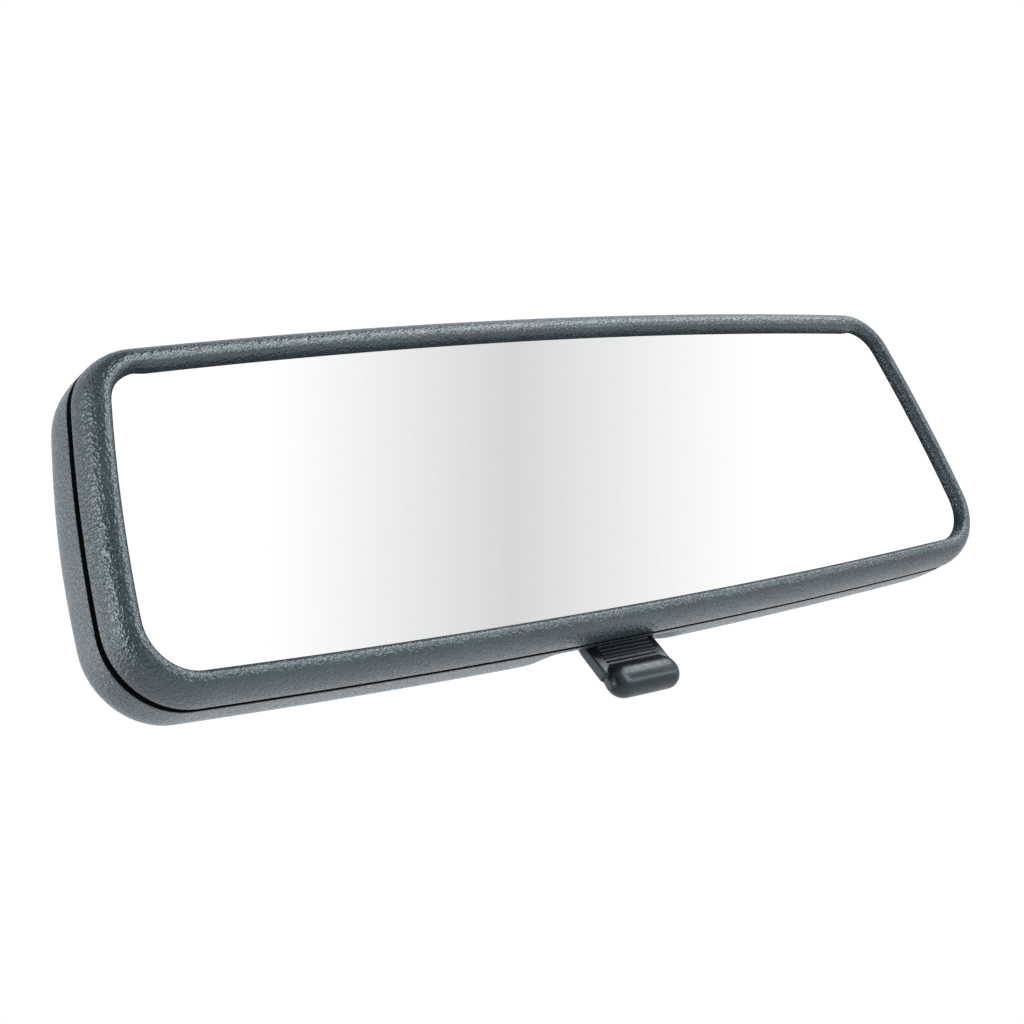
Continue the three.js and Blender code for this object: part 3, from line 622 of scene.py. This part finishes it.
def build_ball_joint():
    b = BALL_SIZE
    half = math.asin(b["neck"] / b["radius"])
    start = b["radius"] * math.cos(half)
    stud = [
        (0, -b["radius"]), *ball_arc(b["radius"], 178, math.degrees(half), 60),
        (b["neck"], start + 2.8), (b["collar"], start + 4), (b["collar"], b["shoulder"]),
        (b["shank"], b["shoulder"]), (b["shank"], b["shank_end"]), (0, b["shank_end"]),
    ]
    disc = [(6.1, -11.2), (3.4, -9.5), (3.4, -9.9), (6.1, -11.6)]
    return [
        at_ball("ball_and_neck", stud, "mount", "bare_steel", "ball_stud", corner=0.5),
        at_ball("liner_cup", cup(112, 158), "swivel", "nylon", "socket_liner"),
        at_ball("retainer_ring", cup(63, 88), "tilt_ring", "nylon", "ball_retainer"),
        at_ball("disc_spring", disc, "bracket", "spring_steel", "socket_spring", corner=0.05),
    ]


def clamp_screw_places():
    places = []
    for i in range(3):
        angle = math.pi / 2 + i * 2 * math.pi / 3
        places.append(BALL + CLAMP_SCREW["circle"] * Vector((math.cos(angle), 0, math.sin(angle))))
    return places


def build_clamp():
    """Clamp ring with countersunk screw holes, and its three pan-headed screws."""
    c, screw = CLAMP, CLAMP_SCREW
    mouth = math.degrees(math.acos(c["rear"] / c["inner"]))
    front = math.degrees(math.acos(c["front"] / c["inner"]))
    profile = ball_arc(c["inner"], front, mouth)
    profile += [(c["outer"], c["rear"]), (c["outer"], c["front"])]
    plate = at_ball("clamp_ring", profile, None, None, None, 144, 0.6)
    for place in clamp_screw_places():
        hole = [(0, -2), (screw["hole"], -2), (screw["hole"], 4.3), (screw["hole"] + 1.2, 5.5), (0, 5.5)]
        combine(plate, loose("hole", turned(hole, place, ACROSS, 48)), "DIFFERENCE")
    attach(plate, "bracket", "die_cast", "socket_clamp_plate")
    return [plate] + [
        build_pan_screw(f"pan_screw_{i + 1}", place, f"clamp_screw_{i + 1}")
        for i, place in enumerate(clamp_screw_places())
    ]


def build_pan_screw(name, place, node):
    screw = CLAMP_SCREW
    seat, top = screw["seat"], screw["seat"] + screw["head_height"]
    head = [
        (0, screw["tip"]), (screw["radius"], screw["tip"] + 0.5), (screw["radius"], seat),
        (screw["head"], seat), (screw["head"], top - 0.7), (screw["head"] * 0.72, top - 0.12), (0, top),
    ]
    piece = make(name, *turned(round_off(head, 0.3), place, ACROSS, 48), None, None)
    for turn in (0, 90):
        combine(piece, loose("recess", recess_bar(place + ACROSS * top, turn)), "DIFFERENCE")
    attach(piece, "bracket", "bare_steel", node)
    return piece


def recess_bar(top, turn, half=1.15, wide=0.28, deep=0.9):
    """One tapered bar of a cross recess."""
    spin = Matrix.Rotation(math.radians(turn), 3, ACROSS)
    rings = []
    for depth, scale in ((0.2, 1.05), (-deep * 0.6, 0.75), (-deep, 0.4)):
        rings.append([
            top + spin @ Vector((a * scale, depth, b)) for a, b in rounded_loop(half, wide, wide * 0.4, 3)
        ])
    return loft(rings)


# ------------------------------------------------------------------ windscreen end

FACE = Vector((0, 64, 42))
TILT = Matrix.Rotation(math.radians(60), 3, "X")
FACE_NORMAL = TILT @ ACROSS
BUTTON = dict(pad=13.5, pad_depth=1.8, neck=10.5, neck_depth=3.6, flange=12.5, depth=5.2)
SHOE = dict(half=15.6, top=-2.1, lips=-3.3, slot_floor=-5.5, bottom=-11.5, corner=7.0, round=2.4)
STALK = dict(start=6.2, end=7.0, sink=3.0, start_pull=11.0, end_pull=15.0, steps=40, sides=64)
SET_SCREW = dict(along=9.2, radius=2.2, hex=1.1, outer=-11.1, inner=-5.5, socket=2.0)
CLEAR = 0.3


def at_face(x, y, z):
    """From the bonding face's own axes, y square to it and outward, to the head frame."""
    return FACE + TILT @ Vector((x, y, z))


def build_button():
    b = BUTTON
    profile = [
        (0, -b["depth"]), (b["flange"], -b["depth"]), (b["flange"], -b["neck_depth"]),
        (b["neck"], -b["neck_depth"]), (b["neck"], -b["pad_depth"]), (b["pad"], -b["pad_depth"]),
        (b["pad"], 0), (0, 0),
    ]
    return make("bonded_button", *turned(round_off(profile, 0.4), FACE, FACE_NORMAL, 128),
                "mount", "bare_steel", "windscreen_button")


def channel(half, low, high, steps=24):
    """A cutter that is round at one end and runs out past the shoe's lower edge."""
    loop = [(half * math.cos(math.pi * i / steps), half * math.sin(math.pi * i / steps))
            for i in range(steps + 1)]
    loop += [(-half, -SHOE["half"] - 3), (half, -SHOE["half"] - 3)]
    return loft([[at_face(x, y, z) for x, z in loop] for y in (low, high)])


def shoe_body():
    s = SHOE
    levels = [(s["bottom"] + s["round"] * (1 - math.cos(math.radians(a))),
               s["round"] * (1 - math.sin(math.radians(a)))) for a in range(0, 91, 15)]
    levels += [(s["top"] - 0.5, 0.0), (s["top"], 0.5)]
    rings = []
    for y, inset in levels:
        half = s["half"] - inset
        rings.append([at_face(x, y, z) for x, z in rounded_loop(half, half, s["corner"] - inset, 12)])
    return loft(rings)


def stalk_body():
    k = STALK
    start = BALL + ACROSS * (BALL_SIZE["shoulder"] + CLEAR)
    end = FACE + FACE_NORMAL * (k["sink"] + SHOE["bottom"])
    handles = (start, start + ACROSS * k["start_pull"], end - FACE_NORMAL * k["end_pull"], end)
    rings = []
    for step in range(k["steps"] + 1):
        share = step / k["steps"]
        a, b, c = (handles[i].lerp(handles[i + 1], share) for i in range(3))
        ab, bc = a.lerp(b, share), b.lerp(c, share)
        way = (bc - ab).normalized()
        up = Vector((0, -way.z, way.y))
        radius = k["start"] + (k["end"] - k["start"]) * share
        rings.append([
            ab.lerp(bc, share) + radius * (Vector((math.cos(t), 0, 0)) + up * math.sin(t))
            for t in (2 * math.pi * i / k["sides"] for i in range(k["sides"]))
        ])
    return loft(rings)


def face_rod(radius, low, high, sides=48):
    profile = [(0, low), (radius, low), (radius, high), (0, high)]
    return turned(profile, at_face(0, 0, SET_SCREW["along"]), FACE_NORMAL, sides)


def build_arm():
    """Cast arm: shoe and stalk melt into each other, then the machined openings are cut."""
    arm = make("cast_arm", *shoe_body(), None, None)
    combine(arm, loose("stalk", stalk_body()), "UNION")
    remesh = arm.modifiers.new("remesh", "REMESH")
    remesh.mode = "VOXEL"
    remesh.voxel_size = 0.5 * MM
    smooth = arm.modifiers.new("smooth", "SMOOTH")
    smooth.factor = 0.5
    smooth.iterations = 14
    settle(arm)
    combine(arm, loose("lips", channel(BUTTON["neck"] + CLEAR, SHOE["lips"] - 0.1, 1)), "DIFFERENCE")
    slot = channel(BUTTON["flange"] + CLEAR, SHOE["slot_floor"], SHOE["lips"])
    combine(arm, loose("slot", slot), "DIFFERENCE")
    hole = face_rod(SET_SCREW["radius"] + CLEAR, SHOE["bottom"] - 1, SHOE["lips"])
    combine(arm, loose("hole", hole), "DIFFERENCE")
    bore = [(0, -1), (BALL_SIZE["shank"] + CLEAR, -1), (BALL_SIZE["shank"] + CLEAR, 8), (0, 8)]
    combine(arm, loose("bore", turned(bore, BALL + ACROSS * BALL_SIZE["shoulder"], ACROSS, 48)), "DIFFERENCE")
    attach(arm, "mount", "die_cast", "mount_arm")
    return arm


def build_set_screw():
    s = SET_SCREW
    profile = [(0, s["outer"]), (s["radius"], s["outer"]), (s["radius"], s["inner"]), (0, s["inner"])]
    origin = at_face(0, 0, s["along"])
    piece = make("set_screw", *turned(round_off(profile, 0.4), origin, FACE_NORMAL, 64), None, None)
    socket = face_rod(s["hex"], s["outer"] - 1, s["outer"] + s["socket"], 6)
    combine(piece, loose("hex", socket), "DIFFERENCE")
    attach(piece, "mount", "bare_steel", "button_set_screw")
    return piece


# ------------------------------------------------------------------ inside the head

def build_pin(name, node, radius, arris=0.35):
    """A straight pin with chamfered ends, in its CAD node's place."""
    low, high = (in_head(corner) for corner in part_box(node))
    half = (high.x - low.x) / 2
    profile = [(0, -half), (radius - arris, -half), (radius, -half + arris),
               (radius, half - arris), (radius - arris, half), (0, half)]
    origin = (low + high) / 2
    return make(name, *turned(profile, origin, (1, 0, 0), 64), "head", "bare_steel", node)


def build_foam(name, node, bulge=0.35, steps=24):
    """A soft strip whose faces are crowned a little between its edges."""
    low, high = (in_head(corner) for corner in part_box(node))
    slope = math.tan(GLASS["wedge"])
    rings = []
    for i in range(steps + 1):
        share = -math.cos(math.pi * i / steps)
        size = (1 - abs(share) ** 12) ** 0.5 if abs(share) < 1 else 0.0
        x = low.x + (high.x - low.x) * (share + 1) / 2
        loop = []
        for b, a in rounded_loop((high.z - low.z) / 2, 1.0, 0.3, 4):
            z = (low.z + high.z) / 2 + b * (0.94 + 0.06 * size)
            front = low.y + (z - low.z) * slope
            middle, thick = (front + high.y) / 2, (high.y - front) / 2
            pinch = 1 - bulge * (abs(b) / ((high.z - low.z) / 2)) ** 3 * 0.3
            loop.append(Vector((x, middle + a * thick * pinch * (0.8 + 0.2 * size), z)))
        rings.append(loop)
    piece = make(name, *loft(rings), "head", "foam", node)
    return piece


# ------------------------------------------------------------------ materials

def new_material(name):
    material = bpy.data.materials.new(name)
    material.use_nodes = True
    nodes = material.node_tree.nodes
    return material, nodes, material.node_tree.links, nodes["Principled BSDF"]


def object_noise(nodes, links, scale, detail=3.0, roughness=0.55):
    """Noise that is fixed to the object's own coordinates, in features per metre."""
    place = nodes.new("ShaderNodeTexCoord")
    noise = nodes.new("ShaderNodeTexNoise")
    noise.inputs["Scale"].default_value = scale
    noise.inputs["Detail"].default_value = detail
    noise.inputs["Roughness"].default_value = roughness
    links.new(place.outputs["Object"], noise.inputs["Vector"])
    return noise


def ramp(nodes, links, source, stops):
    node = nodes.new("ShaderNodeValToRGB")
    node.color_ramp.elements.remove(node.color_ramp.elements[1])
    for i, (position, color) in enumerate(stops):
        if i:
            node.color_ramp.elements.new(position)
        element = node.color_ramp.elements[i]
        element.position = position
        element.color = (*color, 1) if len(color) == 3 else (color[0],) * 3 + (1,)
    links.new(source, node.inputs["Fac"])
    return node


def grained_plastic(name, dark, light, grain_mm, depth_mm, roughness, wear=0.35, gloss_tint=(1, 1, 1)):
    """Moulded plastic with a spark-eroded grain, faint mottling and paler rubbed edges."""
    material, nodes, links, shader = new_material(name)
    shader.inputs["Specular Tint"].default_value = (*gloss_tint, 1)
    mottle = object_noise(nodes, links, 60, 4)
    tone = ramp(nodes, links, mottle.outputs["Fac"], [(0.35, dark), (0.68, light)])
    geometry = nodes.new("ShaderNodeNewGeometry")
    edges = ramp(nodes, links, geometry.outputs["Pointiness"], [(0.52, (0.0,)), (0.62, (wear,))])
    rubbed = nodes.new("ShaderNodeMix")
    rubbed.data_type = "RGBA"
    links.new(edges.outputs["Color"], rubbed.inputs["Factor"])
    links.new(tone.outputs["Color"], rubbed.inputs["A"])
    rubbed.inputs["B"].default_value = (*[min(1, 2.2 * c) for c in light], 1)
    links.new(rubbed.outputs["Result"], shader.inputs["Base Color"])
    fine = object_noise(nodes, links, 1000 / grain_mm, 1.2, 0.5)
    rough_to_smooth = [(0.35, (roughness + 0.14,)), (0.65, (roughness - 0.1,))]
    sparkle = ramp(nodes, links, fine.outputs["Fac"], rough_to_smooth)
    links.new(sparkle.outputs["Color"], shader.inputs["Roughness"])
    place = nodes.new("ShaderNodeTexCoord")
    cells = nodes.new("ShaderNodeTexVoronoi")
    cells.feature = "SMOOTH_F1"
    cells.inputs["Scale"].default_value = 1000 / (grain_mm * 1.15)
    links.new(place.outputs["Object"], cells.inputs["Vector"])
    blend = nodes.new("ShaderNodeMath")
    blend.operation = "MULTIPLY_ADD"
    links.new(cells.outputs["Distance"], blend.inputs[0])
    blend.inputs[1].default_value = 0.8
    links.new(fine.outputs["Fac"], blend.inputs[2])
    bump = nodes.new("ShaderNodeBump")
    bump.inputs["Strength"].default_value = 1.0
    bump.inputs["Distance"].default_value = depth_mm * MM
    links.new(blend.outputs["Value"], bump.inputs["Height"])
    links.new(bump.outputs["Normal"], shader.inputs["Normal"])
    return material


def smooth_plastic(name, dark, light, roughness, depth_mm=0.004, gloss_tint=(1, 1, 1), gloss=0.5):
    """Polished moulding: almost even colour, faint flow ripple and fine scuffs."""
    material, nodes, links, shader = new_material(name)
    shader.inputs["Specular Tint"].default_value = (*gloss_tint, 1)
    shader.inputs["Specular IOR Level"].default_value = gloss
    mottle = object_noise(nodes, links, 90, 3)
    tone = ramp(nodes, links, mottle.outputs["Fac"], [(0.3, dark), (0.7, light)])
    links.new(tone.outputs["Color"], shader.inputs["Base Color"])
    scuffs = object_noise(nodes, links, 420, 6, 0.7)
    shine = ramp(nodes, links, scuffs.outputs["Fac"], [(0.4, (roughness,)), (0.72, (roughness + 0.14,))])
    links.new(shine.outputs["Color"], shader.inputs["Roughness"])
    bump = nodes.new("ShaderNodeBump")
    bump.inputs["Distance"].default_value = depth_mm * MM
    links.new(scuffs.outputs["Fac"], bump.inputs["Height"])
    links.new(bump.outputs["Normal"], shader.inputs["Normal"])
    return material


def metal(name, dark, light, roughness, stretch=(1, 1, 1), depth_mm=0.004):
    """Bare metal with machining streaks along one direction and faint dull patches."""
    material, nodes, links, shader = new_material(name)
    shader.inputs["Metallic"].default_value = 1.0
    place = nodes.new("ShaderNodeTexCoord")
    squeeze = nodes.new("ShaderNodeMapping")
    squeeze.inputs["Scale"].default_value = stretch
    streaks = nodes.new("ShaderNodeTexNoise")
    streaks.inputs["Scale"].default_value = 900
    streaks.inputs["Detail"].default_value = 4
    links.new(place.outputs["Object"], squeeze.inputs["Vector"])
    links.new(squeeze.outputs["Vector"], streaks.inputs["Vector"])
    patches = object_noise(nodes, links, 140, 4)
    tone = ramp(nodes, links, patches.outputs["Fac"], [(0.35, dark), (0.65, light)])
    links.new(tone.outputs["Color"], shader.inputs["Base Color"])
    smooth_to_rough = [(0.35, (roughness - 0.08,)), (0.7, (roughness + 0.12,))]
    shine = ramp(nodes, links, streaks.outputs["Fac"], smooth_to_rough)
    links.new(shine.outputs["Color"], shader.inputs["Roughness"])
    bump = nodes.new("ShaderNodeBump")
    bump.inputs["Distance"].default_value = depth_mm * MM
    links.new(streaks.outputs["Fac"], bump.inputs["Height"])
    links.new(bump.outputs["Normal"], shader.inputs["Normal"])
    return material


def mirror_surface():
    """Silvered glass: a polished reflector with the faintest dust in its roughness."""
    material, nodes, links, shader = new_material("silvered_glass")
    shader.inputs["Metallic"].default_value = 1.0
    dust = object_noise(nodes, links, 300, 5, 0.65)
    dusty_to_clean = [(0.3, (0.955, 0.965, 0.965)), (0.8, (0.975, 0.98, 0.985))]
    tone = ramp(nodes, links, dust.outputs["Fac"], dusty_to_clean)
    links.new(tone.outputs["Color"], shader.inputs["Base Color"])
    shine = ramp(nodes, links, dust.outputs["Fac"], [(0.5, (0.0,)), (0.95, (0.045,))])
    links.new(shine.outputs["Color"], shader.inputs["Roughness"])
    return material


MATERIALS = {
    "casing": grained_plastic(
        "charcoal_grain", (0.010, 0.0155, 0.019), (0.016, 0.024, 0.0285), 0.55, 0.20, 0.29, 0.3,
        (0.80, 0.94, 1.0)),
    "lever": smooth_plastic(
        "black_satin", (0.003, 0.0045, 0.0055), (0.0055, 0.0075, 0.009), 0.30, 0.006,
        (0.75, 0.92, 1.0), 0.32),
    "mirror": mirror_surface(),
    "film": smooth_plastic("backing_film", (0.012, 0.013, 0.015), (0.02, 0.021, 0.024), 0.45),
    "foam": grained_plastic("open_foam", (0.02, 0.02, 0.021), (0.05, 0.05, 0.052), 0.9, 0.3, 0.85, 0.1),
    "nylon": smooth_plastic("natural_nylon", (0.58, 0.55, 0.46), (0.68, 0.65, 0.56), 0.42),
    "mechanism": grained_plastic(
        "filled_nylon", (0.012, 0.013, 0.014), (0.022, 0.023, 0.025), 0.6, 0.02, 0.5, 0.2),
    "die_cast": grained_plastic(
        "powder_coat", (0.011, 0.012, 0.013), (0.019, 0.020, 0.022), 0.5, 0.03, 0.42, 0.3),
    "bare_steel": metal("plated_steel", (0.52, 0.53, 0.53), (0.66, 0.66, 0.65), 0.3),
    "spring_steel": metal("blued_spring", (0.20, 0.21, 0.23), (0.33, 0.33, 0.34), 0.34, (1, 8, 8)),
}


# ------------------------------------------------------------------ camera, light, stage

CAMERA = dict(yaw=41.97, pitch=13.35, roll=-19.12, distance=392.25, target=(-25.5, -2.64), focal=1900 / 1024)


def camera_axes():
    """Right, up and forward of the camera, with its roll."""
    yaw, pitch, roll = (math.radians(CAMERA[k]) for k in ("yaw", "pitch", "roll"))
    forward = Vector((math.sin(yaw) * math.cos(pitch), math.cos(yaw) * math.cos(pitch), math.sin(pitch)))
    level = Vector((math.cos(yaw), -math.sin(yaw), 0))
    upright = level.cross(forward)
    right = math.cos(roll) * level + math.sin(roll) * upright
    up = math.cos(roll) * upright - math.sin(roll) * level
    return right, up, forward


def place_camera():
    right, up, forward = camera_axes()
    eye = Vector((CAMERA["target"][0], 0, CAMERA["target"][1])) - forward * CAMERA["distance"]
    data = bpy.data.cameras.new("camera")
    data.sensor_width = 36
    data.lens = CAMERA["focal"] * 36
    data.clip_start = 0.01
    camera = bpy.data.objects.new("camera", data)
    turn = Matrix((right, up, -forward)).transposed().to_4x4()
    camera.matrix_world = Matrix.Translation(HEAD + eye * MM) @ turn
    bpy.context.scene.collection.objects.link(camera)
    bpy.context.scene.camera = camera


def facing(name, data, way, distance, roll_axis=Vector((0, 0, 1))):
    """Put a light or a card out along a direction, facing the mirror."""
    item = bpy.data.objects.new(name, data)
    bpy.context.scene.collection.objects.link(item)
    back = Vector(way).normalized()
    side = roll_axis.cross(back).normalized()
    item.matrix_world = (
        Matrix.Translation(HEAD + back * distance)
        @ Matrix((side, back.cross(side), back)).transposed().to_4x4()
    )
    return item


def softbox(name, way, distance, size, glow):
    """An area light with a given radiance."""
    light = bpy.data.lights.new(name, "AREA")
    light.shape = "RECTANGLE"
    light.size, light.size_y = size
    light.energy = glow * math.pi * size[0] * size[1]
    lamp = facing(name, light, way, distance)
    lamp.visible_camera = False
    return lamp


def card_mesh(name, width, height):
    mesh = bpy.data.meshes.new(name)
    corners = [(-width / 2, -height / 2, 0), (width / 2, -height / 2, 0),
               (width / 2, height / 2, 0), (-width / 2, height / 2, 0)]
    mesh.from_pydata(corners, [], [(0, 1, 2, 3)])
    return mesh


DIP = dict(half=0.15, bright=1.1, dark=0.7)


def band_card(distance, width, height):
    """A big soft light, white with one soft grey dip down its middle, which the glass shows."""
    right, up, forward = camera_axes()
    mirrored = Matrix.Diagonal((1, -1, 1))
    eye = mirrored @ (Vector((CAMERA["target"][0], 0, CAMERA["target"][1])) - forward * CAMERA["distance"])
    card = bpy.data.objects.new("band_card", card_mesh("band_card", width * MM, height * MM))
    bpy.context.scene.collection.objects.link(card)
    axes = Matrix((mirrored @ right, mirrored @ up, mirrored @ forward)).transposed()
    card.matrix_world = Matrix.Translation(HEAD + (eye + axes.col[2] * distance) * MM) @ axes.to_4x4()
    material = bpy.data.materials.new("band_card")
    material.use_nodes = True
    nodes, links = material.node_tree.nodes, material.node_tree.links
    nodes.clear()
    place = nodes.new("ShaderNodeTexCoord")
    across = nodes.new("ShaderNodeSeparateXYZ")
    share = nodes.new("ShaderNodeMath")
    share.operation = "MULTIPLY_ADD"
    share.inputs[1].default_value = 1 / (width * MM)
    share.inputs[2].default_value = 0.5
    links.new(place.outputs["Object"], across.inputs["Vector"])
    links.new(across.outputs["X"], share.inputs[0])
    bright, dark = (DIP["bright"],), (DIP["dark"],)
    stops = [(0.5 - DIP["half"], bright), (0.5, dark), (0.5 + DIP["half"], bright)]
    glow = nodes.new("ShaderNodeEmission")
    links.new(ramp(nodes, links, share.outputs["Value"], stops).outputs["Color"], glow.inputs["Color"])
    out = nodes.new("ShaderNodeOutputMaterial")
    links.new(glow.outputs["Emission"], out.inputs["Surface"])
    stage_card(card, material)


def stage_card(card, material):
    card.data.materials.append(material)
    card.visible_camera = False
    card.visible_shadow = False


def dark_card(name, way, distance, width, height, tone):
    card = facing(name, card_mesh(name, width, height), way, distance)
    material, _, _, shader = new_material(name)
    shader.inputs["Base Color"].default_value = (tone, tone, tone, 1)
    shader.inputs["Roughness"].default_value = 1.0
    shader.inputs["Specular IOR Level"].default_value = 0.0
    stage_card(card, material)


def light_scene():
    world = bpy.data.worlds.new("studio")
    bpy.context.scene.world = world
    world.use_nodes = True
    sky = world.node_tree.nodes["Background"]
    sky.inputs["Color"].default_value = (0.94, 0.98, 1.03, 1)
    sky.inputs["Strength"].default_value = 1.1
    softbox("softbox_front", toward(13, 14), 1.0, (0.28, 0.8), 12.0)
    softbox("softbox_high", toward(42, 42), 1.5, (1.4, 0.7), 10.0)
    softbox("softbox_low", toward(42, -3), 1.2, (0.95, 0.17), 9.0)
    softbox("softbox_left", toward(-93, 12), 1.2, (0.42, 0.9), 12.0)
    softbox("softbox_back", toward(-140, 5), 1.4, (0.7, 0.9), 2.4)
    band_card(1600, 1600, 1100)
    dark_card("dark_side", toward(-58, 6), 0.9, 0.62, 1.1, 0.03)
    dark_card("dark_ceiling", toward(20, 84), 1.0, 1.1, 1.1, 0.05)


def toward(azimuth, elevation):
    """A direction: azimuth from straight in front of the glass towards +X, elevation up."""
    a, e = math.radians(azimuth), math.radians(elevation)
    return Vector((math.sin(a) * math.cos(e), -math.cos(a) * math.cos(e), math.sin(e)))


def build_floor():
    mesh = card_mesh("floor", 6, 6)
    floor = bpy.data.objects.new("floor", mesh)
    floor.location = HEAD + Vector((0, 0, -1.0))
    bpy.context.scene.collection.objects.link(floor)
    material, nodes, links, shader = new_material("pale_floor")
    tone = ramp(nodes, links, object_noise(nodes, links, 3, 4).outputs["Fac"],
                [(0.3, (0.92, 0.92, 0.92)), (0.7, (0.95, 0.95, 0.95))])
    links.new(tone.outputs["Color"], shader.inputs["Base Color"])
    shader.inputs["Roughness"].default_value = 0.8
    mesh.materials.append(material)


# ------------------------------------------------------------------ build

bpy.context.scene.view_settings.view_transform = "Standard"
place_camera()
light_scene()
build_floor()

# Painted shade: a near-black, nearly unreflective material that stands in for the shadow inside the parting gap.
PAINTED_GAP_SHADE = smooth_plastic("painted_gap_shade", (0.0012, 0.0013, 0.0014), (0.0022, 0.0023, 0.0024), 0.8, gloss=0.04)
bezel, housing, glass = build_bezel(), build_housing(), build_glass()
PIECES = [bezel, housing, glass, build_lever()]
PIECES += build_ball_joint() + build_clamp() + [build_button(), build_arm(), build_set_screw()]
PIECES += [
    build_pin("upper_hinge_pin", "hinge_pin", 1.5),
    build_pin("lever_axle", "lever_pivot_pin", 1.25),
    build_foam("foam_upper", "foam_strip_upper"),
    build_foam("foam_lower", "foam_strip_lower"),
]
for piece in PIECES:
    piece.data.materials.clear()
    piece.data.materials.append(MATERIALS[piece["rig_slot"]])

# Painted shade: the bezel's skirt and the housing's rim face, deep in the parting gap, take the near-black
# material.
paint_gap_shade(bezel, BEZEL["gap_edge"] - 0.02, math.inf)
paint_gap_shade(housing, HOUSING["rim"] - 0.05, HOUSING["rim_edge"] + 0.03)
# The bead and the glass leave each other out of their reflections.
for piece in (bezel, glass):
    piece.visible_glossy = False

for part in frame["record"]["subparts"]:
    node = frame["nodes"][part["node"]]
    node.data.materials.clear()
    node.data.materials.append(MATERIALS[part["material_slot"]])
